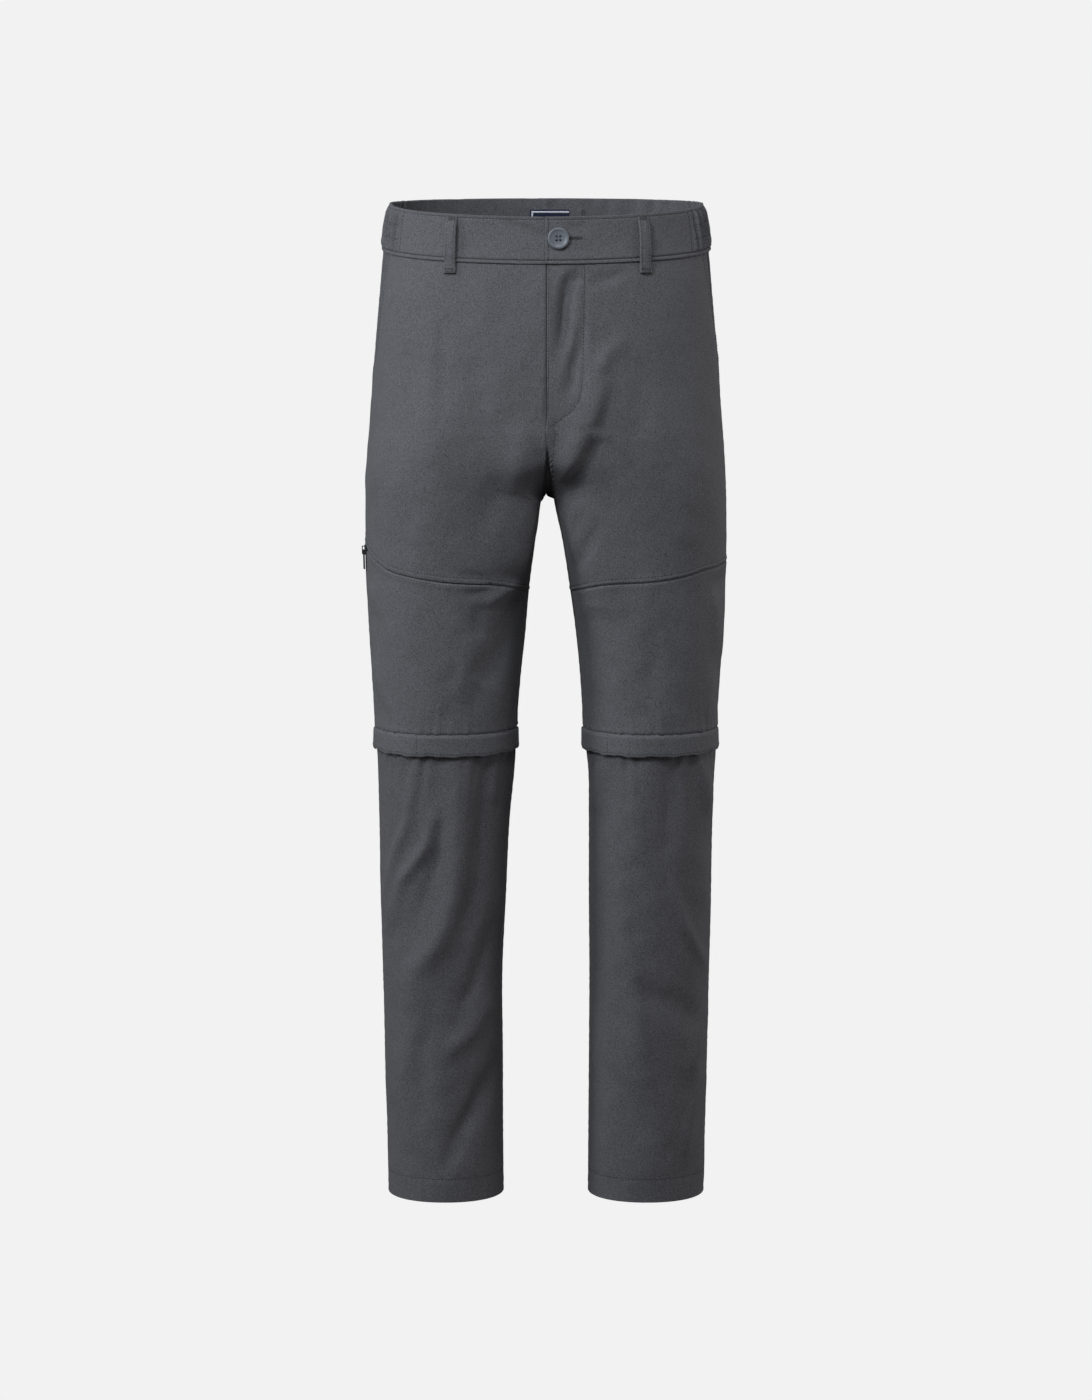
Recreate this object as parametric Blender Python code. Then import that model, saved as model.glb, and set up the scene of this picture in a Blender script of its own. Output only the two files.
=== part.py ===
"""Convertible zip-off trousers, filled out as if worn, at real size.

Metres, +Z up. The origin is the middle of the waist, half way up the waistband. The front faces -Y and
the garment's own left leg is at +X. Every cloth piece is a thin closed wall on one smooth body surface.
"""

import math

import bmesh
import bpy
import numpy as np
from mathutils import Matrix, Vector

# Cloth and seams
CLOTH = 0.0016
BAND_CLOTH = 0.0024
FLAP_CLOTH = 0.0018
TAPE = 0.0010
SEAM = 0.0003
CLEAR = 0.0001

# Steps along the surface that its normals are measured from
PROBE = 0.0004
PROBE_SHARE = 0.002

# Heights of the main levels, measured from the middle of the waistband
CROTCH = -0.2965
KNEE_SEAM = -0.553
FLAP_BOTTOM = -0.5755
ZIP_BOTTOM = -0.5705
HEM = -1.0745
HEM_FOLD = 0.022
HEM_LAYER = 0.0008

# The fork: how far above the crotch the two leg shapes start to part, and how quickly
FORK_TOP = {"front": -0.150, "back": -0.120}
FORK_PACE = {"front": 2.0, "back": 1.4}

# The legs part from a little above the crotch, and the cloth between them ends there in a small arch. Each
# reach is a share of the way round.
CROTCH_ARCH = 0.003
PART_ABOVE = 0.055
PART_BELOW = 0.012
ARCH_REACH = 0.20

# The front's squarer inner half ends at this share. The change eases in over a height above the crotch.
SQUARE_REACH = 0.50
SQUARE_EASE = 0.045
SQUARE_ROUNDS = 6

# The waistband's edges follow the side seam height, and dip towards the centre front
BAND_TOP_SIDE = 0.0190
BAND_TOP_FRONT = 0.0066
BAND_TOP_BACK = 0.0210
BAND_HEIGHT = 0.0496
BAND_PROUD = 0.0006
BAND_ROWS = (0.0, 0.12, 0.88, 1.0)
BAND_COLUMNS = 13
BAND_ROLLED_EDGES = (0.0006, 0.0, 0.0, 0.0005)
BAND_LAP_SHARES = (0.13, 0.09, 0.05, 0.025, 0.004)
ELASTIC_REACH = {"front": 0.054, "back": 0.055}
GATHERS = 9
COLUMNS_PER_GATHER = 4
GATHER_LIFT = 0.0009

# The fly and the slanted hip pockets
FLY_EDGE_RISE = 0.0005
FLY_EDGE_REACH = 0.012
POCKET_TOP_SHARE = 0.170
POCKET_DEPTH = 0.150

# Belt loops: name, side, half, and how far round the waist from the middle each one is sewn on
LOOP_WIDTH = 0.0115
LOOP_CLOTH = 0.0014
LOOP_STAND_OFF = 0.0032
LOOP_BELOW_SEAM = 0.0125
LOOP_BELOW_TOP = 0.0030
LOOP_FOLDED_END = 0.0008
LOOP_ROWS = (
    # share of the length, share of the stand-off, whether the end is folded under
    (0.00, 0.00, 0),
    (0.07, 0.10, 0),
    (0.18, 0.62, 0),
    (0.36, 0.95, 0),
    (0.58, 1.00, 0),
    (0.74, 0.72, 0),
    (0.84, 0.30, 0),
    (0.90, 0.00, 1),
    (1.00, 0.00, 1),
)
LOOP_PLACES = (
    ("belt_loop_front_right", "right", "front", 0.1020),
    ("belt_loop_front_left", "left", "front", 0.1055),
    ("belt_loop_back_right", "right", "back", 0.1070),
    ("belt_loop_back_left", "left", "back", 0.1070),
    ("belt_loop_back_centre", "left", "back", 0.0),
)

# Button on the waistband's left end, and the woven label inside the back
BUTTON_DIAMETER = 0.0232
BUTTON_THICKNESS = 0.0034
BUTTON_FROM_MIDDLE = 0.0130
BUTTON_Z = -0.0160
BUTTON_TURNS = 24
BUTTON_PROFILE = (
    # share of the radius, share of the thickness, from the middle of the back to the middle of the face
    (0.00, 0.00),
    (0.86, 0.00),
    (1.00, 0.35),
    (1.00, 0.72),
    (0.94, 1.00),
    (0.76, 1.00),
    (0.66, 0.80),
    (0.34, 0.66),
    (0.00, 0.62),
)
BUTTON_HOLE_RADIUS = 0.0010
BUTTON_HOLE_SPACING = 0.0046
LABEL_REACH = {"right": 0.018, "left": 0.040}
LABEL_HEIGHT = 0.030
LABEL_TOP = 0.0100
LABEL_CLOTH = 0.0008
LABEL_CLEAR = 0.0005

# Thigh pocket zip, on the right leg, from this share of the way round to the side seam
ZIP_INNER_END = 0.35
ZIP_GROOVE = 0.0014
ZIP_FIRST_COLUMN = 4
SLIDER_SHARE = 0.925
SLIDER_Z = -0.3570
SLIDER_SIZE = (0.0110, 0.0070, 0.0024)
SLIDER_CLEAR = 0.0005
SLIDER_EDGE = 0.0005
BRIDGE_SIZE = (0.0092, 0.0016, 0.0036)
BRIDGE_BAR = 0.0009
BRIDGE_SUNK = 0.0005
PULL_LENGTH = 0.0215
PULL_WIDTH = 0.0058
PULL_THICKNESS = 0.0012
PULL_EYE = (0.0068, 0.0028)
PULL_TOP_BAR = 0.0012
PULL_EDGE = 0.0003
CUT_THROUGH = 0.006

# Body sections above the knee. The outer, front and back columns reach to the cloth's outer face. Square is
# the power of the section's oval: 2 is round, more is squarer. The front's inner half has its own.
UPPER_COLUMNS = (
    "height", "outer", "front", "back", "seam_y", "inner_right", "inner_left", "square", "front_inner_square"
)
UPPER_SECTIONS = (
    (0.030, 0.1650, -0.0920, 0.0960, 0.000, 0.0066, 0.0085, 2.35, 2.35),
    (0.000, 0.1735, -0.0960, 0.0990, 0.000, 0.0066, 0.0085, 2.35, 2.35),
    (-0.035, 0.1768, -0.1015, 0.1060, 0.000, 0.0066, 0.0085, 2.35, 2.35),
    (-0.080, 0.1808, -0.1090, 0.1200, 0.000, 0.0066, 0.0085, 2.40, 2.40),
    (-0.140, 0.1860, -0.1150, 0.1370, 0.000, 0.0066, 0.0085, 2.45, 2.60),
    (-0.200, 0.1906, -0.1160, 0.1440, 0.002, 0.0066, 0.0085, 2.45, 3.20),
    (-0.255, 0.1948, -0.1130, 0.1400, 0.004, 0.0066, 0.0085, 2.35, 4.00),
    (-0.295, 0.1968, -0.1078, 0.1296, 0.006, 0.0068, 0.0080, 2.26, 4.50),
    (-0.350, 0.1973, -0.1010, 0.1150, 0.006, 0.0122, 0.0186, 2.15, 4.20),
    (-0.400, 0.1960, -0.0960, 0.1050, 0.005, 0.0187, 0.0264, 2.10, 3.00),
    (-0.450, 0.1938, -0.0915, 0.0960, 0.003, 0.0230, 0.0332, 2.10, 2.30),
    (-0.500, 0.1906, -0.0870, 0.0870, 0.001, 0.0283, 0.0380, 2.10, 2.20),
    (-0.553, 0.1880, -0.0830, 0.0800, 0.000, 0.0319, 0.0407, 2.10, 2.15),
    (-0.600, 0.1890, -0.0820, 0.0790, 0.000, 0.0310, 0.0410, 2.10, 2.15),
)

# Lower leg sections, from the top edge under the flap to the hem
LOWER_COLUMNS = ("height", "outer", "front", "back", "seam_y", "inner_right", "inner_left", "square")
LOWER_SECTIONS = (
    (-0.560, 0.1862, -0.0800, 0.0770, 0.000, 0.0338, 0.0432, 2.10),
    (-0.600, 0.1845, -0.0775, 0.0755, 0.000, 0.0352, 0.0470, 2.10),
    (-0.650, 0.1832, -0.0755, 0.0765, 0.001, 0.0398, 0.0474, 2.10),
    (-0.740, 0.1820, -0.0720, 0.0775, 0.003, 0.0443, 0.0475, 2.10),
    (-0.830, 0.1800, -0.0690, 0.0760, 0.004, 0.0485, 0.0482, 2.10),
    (-0.920, 0.1782, -0.0665, 0.0735, 0.004, 0.0480, 0.0478, 2.10),
    (-1.010, 0.1760, -0.0645, 0.0710, 0.003, 0.0478, 0.0472, 2.10),
    (-1.080, 0.1748, -0.0640, 0.0700, 0.003, 0.0472, 0.0468, 2.10),
)

# The seam across each thigh: share of the way round the front from the inseam, and its height
THIGH_SEAM_COLUMNS = ("share", "right", "left")
THIGH_SEAM = (
    (0.00, -0.4040, -0.4040),
    (0.16, -0.3970, -0.3980),
    (0.35, -0.3890, -0.3885),
    (0.50, -0.3858, -0.3858),
    (0.64, -0.3805, -0.3808),
    (0.74, -0.3755, -0.3752),
    (0.83, -0.3670, -0.3735),
    (0.88, -0.3612, -0.3722),
    (0.94, -0.3530, -0.3705),
    (1.00, -0.3440, -0.3685),
)

# The largest folds: half of the garment, width, lift (a trough is negative), and its way in X and Z
FOLDS = (
    ("front", 0.015, 0.0066, ((0.066, -0.158), (0.054, -0.205), (0.042, -0.242), (0.026, -0.266))),
    ("front", 0.010, -0.0028, ((0.092, -0.048), (0.070, -0.056), (0.046, -0.066))),
    ("front", 0.012, -0.0039, ((0.034, -0.050), (0.019, -0.085), (0.013, -0.136), (0.009, -0.160))),
    ("front", 0.014, -0.0028, ((0.102, -0.140), (0.103, -0.187), (0.102, -0.232))),
    ("front", 0.014, 0.0022, ((-0.123, -0.100), (-0.123, -0.155), (-0.124, -0.215))),
    ("front", 0.014, -0.0025, ((-0.078, -0.138), (-0.073, -0.187), (-0.066, -0.222))),
    ("front", 0.010, -0.0034, ((-0.095, -0.378), (-0.077, -0.384), (-0.058, -0.390))),
    ("front", 0.010, 0.0036, ((-0.024, -0.390), (-0.046, -0.401), (-0.067, -0.413))),
    ("front", 0.016, -0.0056, ((-0.024, -0.400), (-0.040, -0.432), (-0.054, -0.479), (-0.066, -0.510))),
    ("front", 0.014, 0.0034, ((-0.078, -0.440), (-0.086, -0.475), (-0.092, -0.520))),
    ("front", 0.012, 0.0031, ((0.181, -0.396), (0.185, -0.432), (0.188, -0.478))),
    ("back", 0.018, -0.0056, ((0.018, -0.225), (0.060, -0.262), (0.105, -0.278), (0.150, -0.280))),
    ("back", 0.018, -0.0056, ((-0.020, -0.232), (-0.062, -0.256), (-0.110, -0.280), (-0.155, -0.296))),
    ("back", 0.016, 0.0042, ((0.036, -0.296), (0.085, -0.322), (0.140, -0.330))),
    ("back", 0.016, 0.0042, ((-0.034, -0.292), (-0.080, -0.326), (-0.142, -0.346))),
    ("back", 0.014, -0.0042, ((0.050, -0.470), (0.100, -0.496), (0.160, -0.492))),
    ("back", 0.014, -0.0042, ((-0.044, -0.482), (-0.098, -0.502), (-0.158, -0.480))),
)
LOWER_FOLDS = (
    ("front", 0.009, 0.0042, ((-0.145, -0.590), (-0.150, -0.645), (-0.166, -0.690), (-0.175, -0.745))),
    ("front", 0.009, 0.0042, ((-0.121, -0.640), (-0.132, -0.680), (-0.157, -0.720), (-0.170, -0.772))),
    ("front", 0.014, 0.0059, ((-0.094, -0.590), (-0.096, -0.669), (-0.101, -0.735), (-0.148, -0.840))),
    ("front", 0.012, -0.0056, ((-0.071, -0.590), (-0.069, -0.650), (-0.078, -0.717), (-0.090, -0.768))),
    ("front", 0.012, -0.0036, ((-0.056, -0.762), (-0.067, -0.798), (-0.078, -0.832), (-0.098, -0.868))),
    ("front", 0.012, -0.0050, ((-0.054, -0.920), (-0.078, -0.970), (-0.096, -1.000), (-0.108, -1.030))),
    ("front", 0.012, 0.0031, ((-0.156, -0.895), (-0.159, -0.963), (-0.146, -1.025))),
    ("front", 0.012, -0.0036, ((0.137, -0.590), (0.135, -0.631), (0.132, -0.690))),
    ("front", 0.009, 0.0036, ((0.169, -0.590), (0.173, -0.612), (0.177, -0.648))),
    ("front", 0.010, 0.0036, ((0.135, -0.712), (0.150, -0.764), (0.163, -0.791), (0.177, -0.816))),
    ("front", 0.016, -0.0042, ((0.092, -0.828), (0.119, -0.846), (0.142, -0.852), (0.170, -0.884))),
    ("front", 0.009, 0.0034, ((0.176, -0.862), (0.164, -0.920), (0.154, -1.010))),
    ("front", 0.012, 0.0025, ((0.083, -0.700), (0.086, -0.774), (0.103, -0.892), (0.115, -0.950))),
    ("back", 0.014, -0.0048, ((0.055, -0.640), (0.105, -0.668), (0.170, -0.660))),
    ("back", 0.014, -0.0048, ((-0.055, -0.650), (-0.112, -0.670), (-0.166, -0.645))),
    ("back", 0.014, 0.0042, ((0.086, -0.750), (0.095, -0.880), (0.090, -1.010))),
    ("back", 0.014, 0.0042, ((-0.136, -0.740), (-0.122, -0.860), (-0.126, -1.000))),
)

# How the folds die away: over a share of the way round at both side edges, and over a height at seams
UPPER_SIDE_FADE = 0.06
LOWER_SIDE_FADE = 0.08
BAND_SEAM_FADE = (-0.034, -0.060)
KNEE_SEAM_FADE = 0.030
HEM_FADE = (-0.004, 0.030)
PATH_END_FADE = 0.02

SIGN = {"left": 1.0, "right": -1.0}
OUTWARD = {"front": 1.0, "back": -1.0}

# Where each panel's rows of points lie. They crowd at the crotch, where the form turns fastest.
SEAT_LEVELS = (
    -0.036, -0.052, -0.074, -0.100, -0.128, -0.156, -0.182, -0.206, -0.228, -0.248, -0.265,
    -0.277, -0.287, -0.2930, -0.2965, -0.2970, -0.2980, -0.2997, -0.3058, -0.319, -0.340, -0.364,
)
THIGH_LEVELS = (-0.386, -0.404, -0.424, -0.446, -0.468, -0.490, -0.512, -0.533, KNEE_SEAM)
PANEL_COLUMNS = 13
FLY_ROWS = 9
POCKET_ROWS = 9
LOWER_COLUMNS_OF_POINTS = 11
LOWER_ROWS = 17
KNEE_COLUMNS = 15

# The knee flap's rows: share of its depth, and how proud of the leg it stands
FLAP_ROWS = ((0.0, -0.0003), (0.25, 0.0010), (0.6, 0.0016), (1.0, 0.0014))
FLAP_SAG = 0.0015
ZIP_ROWS = ((KNEE_SEAM - 2 * SEAM, 0.0004), (-0.5600, 0.0006), (ZIP_BOTTOM, 0.0006))
KNEE_TAPE = 0.0012

COLOURS = {
    "cloth": ((0.090, 0.096, 0.108), 0.86, 0.0),
    "cloth_lower": ((0.078, 0.080, 0.088), 0.86, 0.0),
    "button": ((0.110, 0.124, 0.142), 0.42, 0.0),
    "tape": ((0.045, 0.048, 0.055), 0.80, 0.0),
    "metal": ((0.120, 0.125, 0.135), 0.38, 0.9),
    "label": ((0.012, 0.018, 0.045), 0.75, 0.0),
}


def smooth_curve(heights, values):
    """A function that passes smoothly through the given values."""
    order = np.argsort(heights)
    xs = np.asarray(heights, float)[order]
    ys = np.asarray(values, float)[order]
    slopes = np.gradient(ys, xs)

    def curve(x):
        x = np.clip(np.asarray(x, float), xs[0], xs[-1])
        i = np.clip(np.searchsorted(xs, x) - 1, 0, len(xs) - 2)
        span = xs[i + 1] - xs[i]
        t = (x - xs[i]) / span
        blend = t * t * (3 - 2 * t)
        lead = t * (1 - t) ** 2 * span * slopes[i]
        trail = t * t * (t - 1) * span * slopes[i + 1]
        return ys[i] * (1 - blend) + ys[i + 1] * blend + lead + trail

    return curve


def curves_of(columns, rows):
    """One smooth curve for each named column of a table, against its first column."""
    first, *others = zip(*rows)
    return {name: smooth_curve(first, values) for name, values in zip(columns[1:], others)}


UPPER = curves_of(UPPER_COLUMNS, UPPER_SECTIONS)
LOWER = curves_of(LOWER_COLUMNS, LOWER_SECTIONS)
THIGH_SEAM_AT = curves_of(THIGH_SEAM_COLUMNS, THIGH_SEAM)


def smoothstep(low, high, x):
    t = np.clip((x - low) / (high - low), 0.0, 1.0)
    return t * t * (3 - 2 * t)


def signed_power(value, power):
    return np.sign(value) * np.abs(value) ** power


def arc_section(side, depth_end, seam_y, centre, half_width, start, square, share):
    """Points of one half section: share runs from the inner edge, 0, round to the side seam, 1."""
    turn = start + share * (math.pi - start)
    across = centre - half_width * signed_power(np.cos(turn), 2 / square)
    along = seam_y + (depth_end - seam_y) * signed_power(np.sin(turn), 2 / square)
    return SIGN[side] * (across + SEAM / 2), along


def upper_face(side, half, share, z):
    """The body surface above the knee. Above the crotch both sides meet on the middle plane."""
    outer = UPPER["outer"](z)
    inner_square = UPPER["front_inner_square" if half == "front" else "square"](z)
    top = FORK_TOP[half]
    fork = np.sin(math.pi / 2 * np.clip((top - z) / (top - CROTCH), 0.0, 1.0) ** FORK_PACE[half])
    drop = np.clip(CROTCH - z, 0.0, None)
    inner = UPPER["inner_" + side](z)
    parted = inner * smoothstep(CROTCH + PART_ABOVE, CROTCH - PART_BELOW, z)
    arched = inner * np.sqrt(1 - (1 - np.clip(drop / CROTCH_ARCH, 0.0, 1.0)) ** 2)
    half_width = (outer - parted) / (1 + fork)
    centre = outer - half_width
    reach = np.clip((centre - parted) / half_width, 0.0, 1.0)
    eased = smoothstep(CROTCH, CROTCH + SQUARE_EASE, z)
    start, square = 0.0, inner_square
    for _ in range(SQUARE_ROUNDS):
        start = np.where(z >= CROTCH, np.arccos(reach ** (square / 2)), 0.0)
        place = start * (1 - eased) / (math.pi - start * eased)
        square = inner_square + (UPPER["square"](z) - inner_square) * smoothstep(0.0, SQUARE_REACH, place)
    place = (start + share * (math.pi - start) - start * eased) / (math.pi - start * eased)
    square = inner_square + (UPPER["square"](z) - inner_square) * smoothstep(0.0, SQUARE_REACH, place)
    x, y = arc_section(side, UPPER[half](z), UPPER["seam_y"](z), centre, half_width, start, square, share)
    near_inseam = smoothstep(ARCH_REACH, 0.0, np.abs(share))
    return np.stack([x + SIGN[side] * (arched - parted) * near_inseam, y, z + 0 * x], axis=-1)


def lower_face(side, half, share, z):
    """The lower leg's surface."""
    outer, inner = LOWER["outer"](z), LOWER["inner_" + side](z)
    half_width = (outer - inner) / 2
    centre = outer - half_width
    depth, seam_y, square = LOWER[half](z), LOWER["seam_y"](z), LOWER["square"](z)
    x, y = arc_section(side, depth, seam_y, centre, half_width, 0.0, square, share)
    return np.stack([x, y, z + 0 * x], axis=-1)


def normals(face, side, half, share, z):
    """Outward unit normals of the surface, from two short steps along it."""
    above = np.where((z < CROTCH) & (z + PROBE > CROTCH), z, z + PROBE)
    under = np.where((z >= CROTCH) & (z - PROBE < CROTCH), z, z - PROBE)
    round_it = face(side, half, share + PROBE_SHARE, z) - face(side, half, share - PROBE_SHARE, z)
    up = face(side, half, share, above) - face(side, half, share, under)
    found = np.cross(round_it, up) * SIGN[side] * OUTWARD[half]
    in_plane = np.stack([0 * up[..., 0], -up[..., 2], up[..., 1]], axis=-1) * OUTWARD[half]
    on_middle = (share <= 0.0) & (z >= CROTCH) & (face is upper_face)
    found = np.where(on_middle[..., None], in_plane, found)
    at_crotch = on_middle & (z < CROTCH + PROBE)
    found = np.where(at_crotch[..., None], np.array([0.0, 0.0, -1.0]), found)
    return found / np.linalg.norm(found, axis=-1, keepdims=True)


def path_lift(points, path, width, lift):
    """How far one fold lifts each point: a soft ridge along its path that dies away at both ends."""
    path = np.array(path)
    lengths = np.linalg.norm(np.diff(path, axis=0), axis=1)
    starts = np.concatenate([[0.0], np.cumsum(lengths)])
    nearest = np.full(points.shape[:-1], np.inf)
    along = np.zeros(points.shape[:-1])
    for begin, end, length, start in zip(path, path[1:], lengths, starts):
        t = np.clip(((points - begin) @ (end - begin)) / length**2, 0.0, 1.0)
        distance = np.linalg.norm(points - begin - t[..., None] * (end - begin), axis=-1)
        closer = distance < nearest
        nearest = np.where(closer, distance, nearest)
        along = np.where(closer, (start + t * length) / starts[-1], along)
    fade = np.sqrt(np.sin(math.pi * np.clip(along, PATH_END_FADE, 1.0 - PATH_END_FADE)))
    return lift * fade * np.exp(-((nearest / width) ** 2))


def folds_at(folds, half, points):
    flat = points[..., ::2]
    return sum(path_lift(flat, path, width, lift) for place, width, lift, path in folds if place == half)


def fly_step(side, half, points):
    """The left front laps over the right one, so its edge stands a little proud down the fly."""
    if half == "back":
        return 0.0
    near = np.exp(-np.abs(points[..., 0]) / FLY_EDGE_REACH)
    over_fly = smoothstep(-0.235, -0.215, points[..., 2])
    return SIGN[side] * FLY_EDGE_RISE * near * over_fly


def skin(face, side, half, share, z, inward):
    """A cloth face this far inside the outer face, with the garment's folds in it."""
    share, z = np.broadcast_arrays(np.asarray(share, float), np.asarray(z, float))
    base = face(side, half, share, z)
    out = normals(face, side, half, share, z)
    folds = FOLDS if face is upper_face else LOWER_FOLDS
    fade = UPPER_SIDE_FADE if face is upper_face else LOWER_SIDE_FADE
    lift = folds_at(folds, half, base) * smoothstep(0.0, fade, share) * smoothstep(1.0, 1.0 - fade, share)
    if face is upper_face:
        lift = lift * smoothstep(*BAND_SEAM_FADE, z) * smoothstep(KNEE_SEAM, KNEE_SEAM + KNEE_SEAM_FADE, z)
        lift = lift + fly_step(side, half, base)
    else:
        lift = lift * smoothstep(HEM + HEM_FADE[0], HEM + HEM_FADE[1], z)
    return base + out * (lift - inward)[..., None]


def trimmed(grid, edges):
    """The grid with the named edges drawn in by half a seam gap."""
    grid = grid.copy()
    inward = {"top": (0, 1), "bottom": (-1, -2)}
    for name in edges:
        if name in inward:
            edge, following = inward[name]
            way = grid[following] - grid[edge]
            grid[edge] += way / np.linalg.norm(way, axis=-1, keepdims=True) * SEAM / 2
        else:
            edge, following = (0, 1) if name == "inner" else (-1, -2)
            way = grid[:, following] - grid[:, edge]
            on_middle = (np.abs(grid[:, edge, :1]) < SEAM) & (grid[:, edge, 2:] > CROTCH + 0.004)
            drawn_in = np.where(on_middle, 0.0, SEAM / 2)
            grid[:, edge] += way / np.linalg.norm(way, axis=-1, keepdims=True) * drawn_in
    return grid


def material(name, look):
    colour, roughness, metallic = COLOURS[look]
    made = bpy.data.materials.new(name + "_" + look)
    made.use_nodes = True
    shader = made.node_tree.nodes["Principled BSDF"]
    shader.inputs["Base Color"].default_value = (*colour, 1.0)
    shader.inputs["Roughness"].default_value = roughness
    shader.inputs["Metallic"].default_value = metallic
    made.diffuse_color = (*colour, 1.0)
    return made


def add_object(name, mesh, look):
    thing = bpy.data.objects.new(name, mesh)
    bpy.context.scene.collection.objects.link(thing)
    mesh.materials.append(material(name, look))
    return thing


def wall(name, outer, inner, look, ring=False):
    """A closed solid between an outer and an inner grid. A ring joins its last column to its first."""
    rows, columns = outer.shape[:2]
    count = rows * columns
    points = np.concatenate([outer.reshape(-1, 3), inner.reshape(-1, 3)])
    across = columns if ring else columns - 1
    faces = []
    for row in range(rows - 1):
        for column in range(across):
            following = (column + 1) % columns
            a, b = row * columns + column, row * columns + following
            c, d = b + columns, a + columns
            faces += [(a, b, c), (a, c, d)]
            faces += [(count + c, count + b, count + a), (count + d, count + c, count + a)]
    rims = [[row * columns + column for column in range(columns)] for row in (0, rows - 1)]
    if not ring:
        rims += [[row * columns + column for row in range(rows)] for column in (0, columns - 1)]
    for rim in rims:
        following = rim[1:] + rim[:1] if ring else rim[1:]
        faces += [(a, b, count + b, count + a) for a, b in zip(rim, following)]
    mesh = bpy.data.meshes.new(name)
    mesh.from_pydata([tuple(p) for p in points], [], faces)
    work = bmesh.new()
    work.from_mesh(mesh)
    bmesh.ops.recalc_face_normals(work, faces=work.faces)
    work.to_mesh(mesh)
    work.free()
    mesh.shade_smooth()
    mesh.set_sharp_from_angle(angle=math.radians(40))
    return add_object(name, mesh, look)


def shares(count):
    return np.linspace(0.0, 1.0, count)


def band_bottom(half, share):
    """Height of the seam under the waistband."""
    return band_top(half, share) - BAND_HEIGHT


def band_top(half, share):
    """Height of the waistband's top edge."""
    middle = {"front": BAND_TOP_FRONT, "back": BAND_TOP_BACK}[half]
    return middle + (BAND_TOP_SIDE - middle) * np.clip(share, 0.0, 1.0) ** 1.5


def share_at(half, distance, z=0.0):
    """Share of the way round at a distance from the middle, or if negative from the side, at one height."""
    share = np.linspace(0.0, 1.0, 2001)
    steps = np.diff(upper_face("left", half, share, z + 0 * share), axis=0)
    travelled = np.concatenate([[0.0], np.cumsum(np.linalg.norm(steps, axis=1))])
    wanted = np.where(np.asarray(distance) < 0.0, distance + travelled[-1], distance)
    return np.interp(wanted, travelled, share)


def elastic_edge(half):
    """Share of the way round where the gathered side of the waistband starts."""
    return float(share_at(half, -ELASTIC_REACH[half]))


def pocket_edge(share, z):
    """The front panel stops short of the side seam above the slanted pocket mouth's lower end."""
    mouth_bottom = band_bottom("front", 1.0) - POCKET_DEPTH
    short = POCKET_TOP_SHARE * np.clip((z - mouth_bottom) / POCKET_DEPTH, 0.0, 1.0)
    return share * (1 - short)


def warped(levels, top, bottom, reach):
    """Rows of heights that start on the top edge's line and end on the bottom edge's line."""
    levels = np.array(levels)[:, None]
    to_top = smoothstep(levels[0, 0] - reach, levels[0, 0], levels)
    to_bottom = smoothstep(levels[-1, 0] + reach, levels[-1, 0], levels)
    return levels + to_top * (top - levels[0, 0]) + to_bottom * (bottom - levels[-1, 0])


def upper_panel(name, side, half, share, z):
    """One panel of the body, drawn in by half a seam gap on all four sides."""
    edges = ("top", "bottom", "inner", "outer")
    outer = trimmed(skin(upper_face, side, half, share, z, 0.0), edges)
    inner = trimmed(skin(upper_face, side, half, share, z, CLOTH), edges)
    wall(name, outer, inner, "cloth")


def front_heights(side, share, top_share):
    """Rows of heights from the waist seam to the thigh seam, for columns that start at top_share."""
    bottom = THIGH_SEAM_AT[side](share) + zip_groove(side, share)
    return warped((*SEAT_LEVELS, THIGH_LEVELS[0]), band_bottom("front", top_share), bottom, 0.062)


def front_grid(side):
    """Shares and heights of the front panel's points, cut away at the hip pocket."""
    share = shares(PANEL_COLUMNS)[None, :]
    z = front_heights(side, share, share * (1 - POCKET_TOP_SHARE))
    return pocket_edge(share, z), z


def zip_groove(side, share):
    """Half the width of the groove that the thigh zip lies in. Only the right leg has one."""
    if side == "left":
        return 0 * share
    return ZIP_GROOVE / 2 * smoothstep(ZIP_INNER_END - 0.02, ZIP_INNER_END + 0.04, share)


def make_front(side):
    """Front from the waist seam to the seam across the thigh."""
    share, z = front_grid(side)
    upper_panel("front_" + side, side, "front", share, z)


def thigh_grid(side):
    """Shares and heights of the thigh front's points."""
    share = shares(PANEL_COLUMNS)[None, :]
    top = THIGH_SEAM_AT[side](share) - zip_groove(side, share)
    return share, warped(THIGH_LEVELS, top, KNEE_SEAM + 0 * share, 0.110)


def make_thigh_front(side):
    """Front of the thigh, from the slanted seam to the knee seam."""
    share, z = thigh_grid(side)
    upper_panel("thigh_front_" + side, side, "front", share, z)


def back_grid():
    """Shares and heights of the back panel's points."""
    share = shares(PANEL_COLUMNS)[None, :]
    z = warped((*SEAT_LEVELS, *THIGH_LEVELS), band_bottom("back", share), KNEE_SEAM + 0 * share, 0.060)
    return share, z


def make_back(side):
    """Back in one length, from the waist seam to the knee seam."""
    share, z = back_grid()
    upper_panel("back_" + side, side, "back", share, z)


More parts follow.
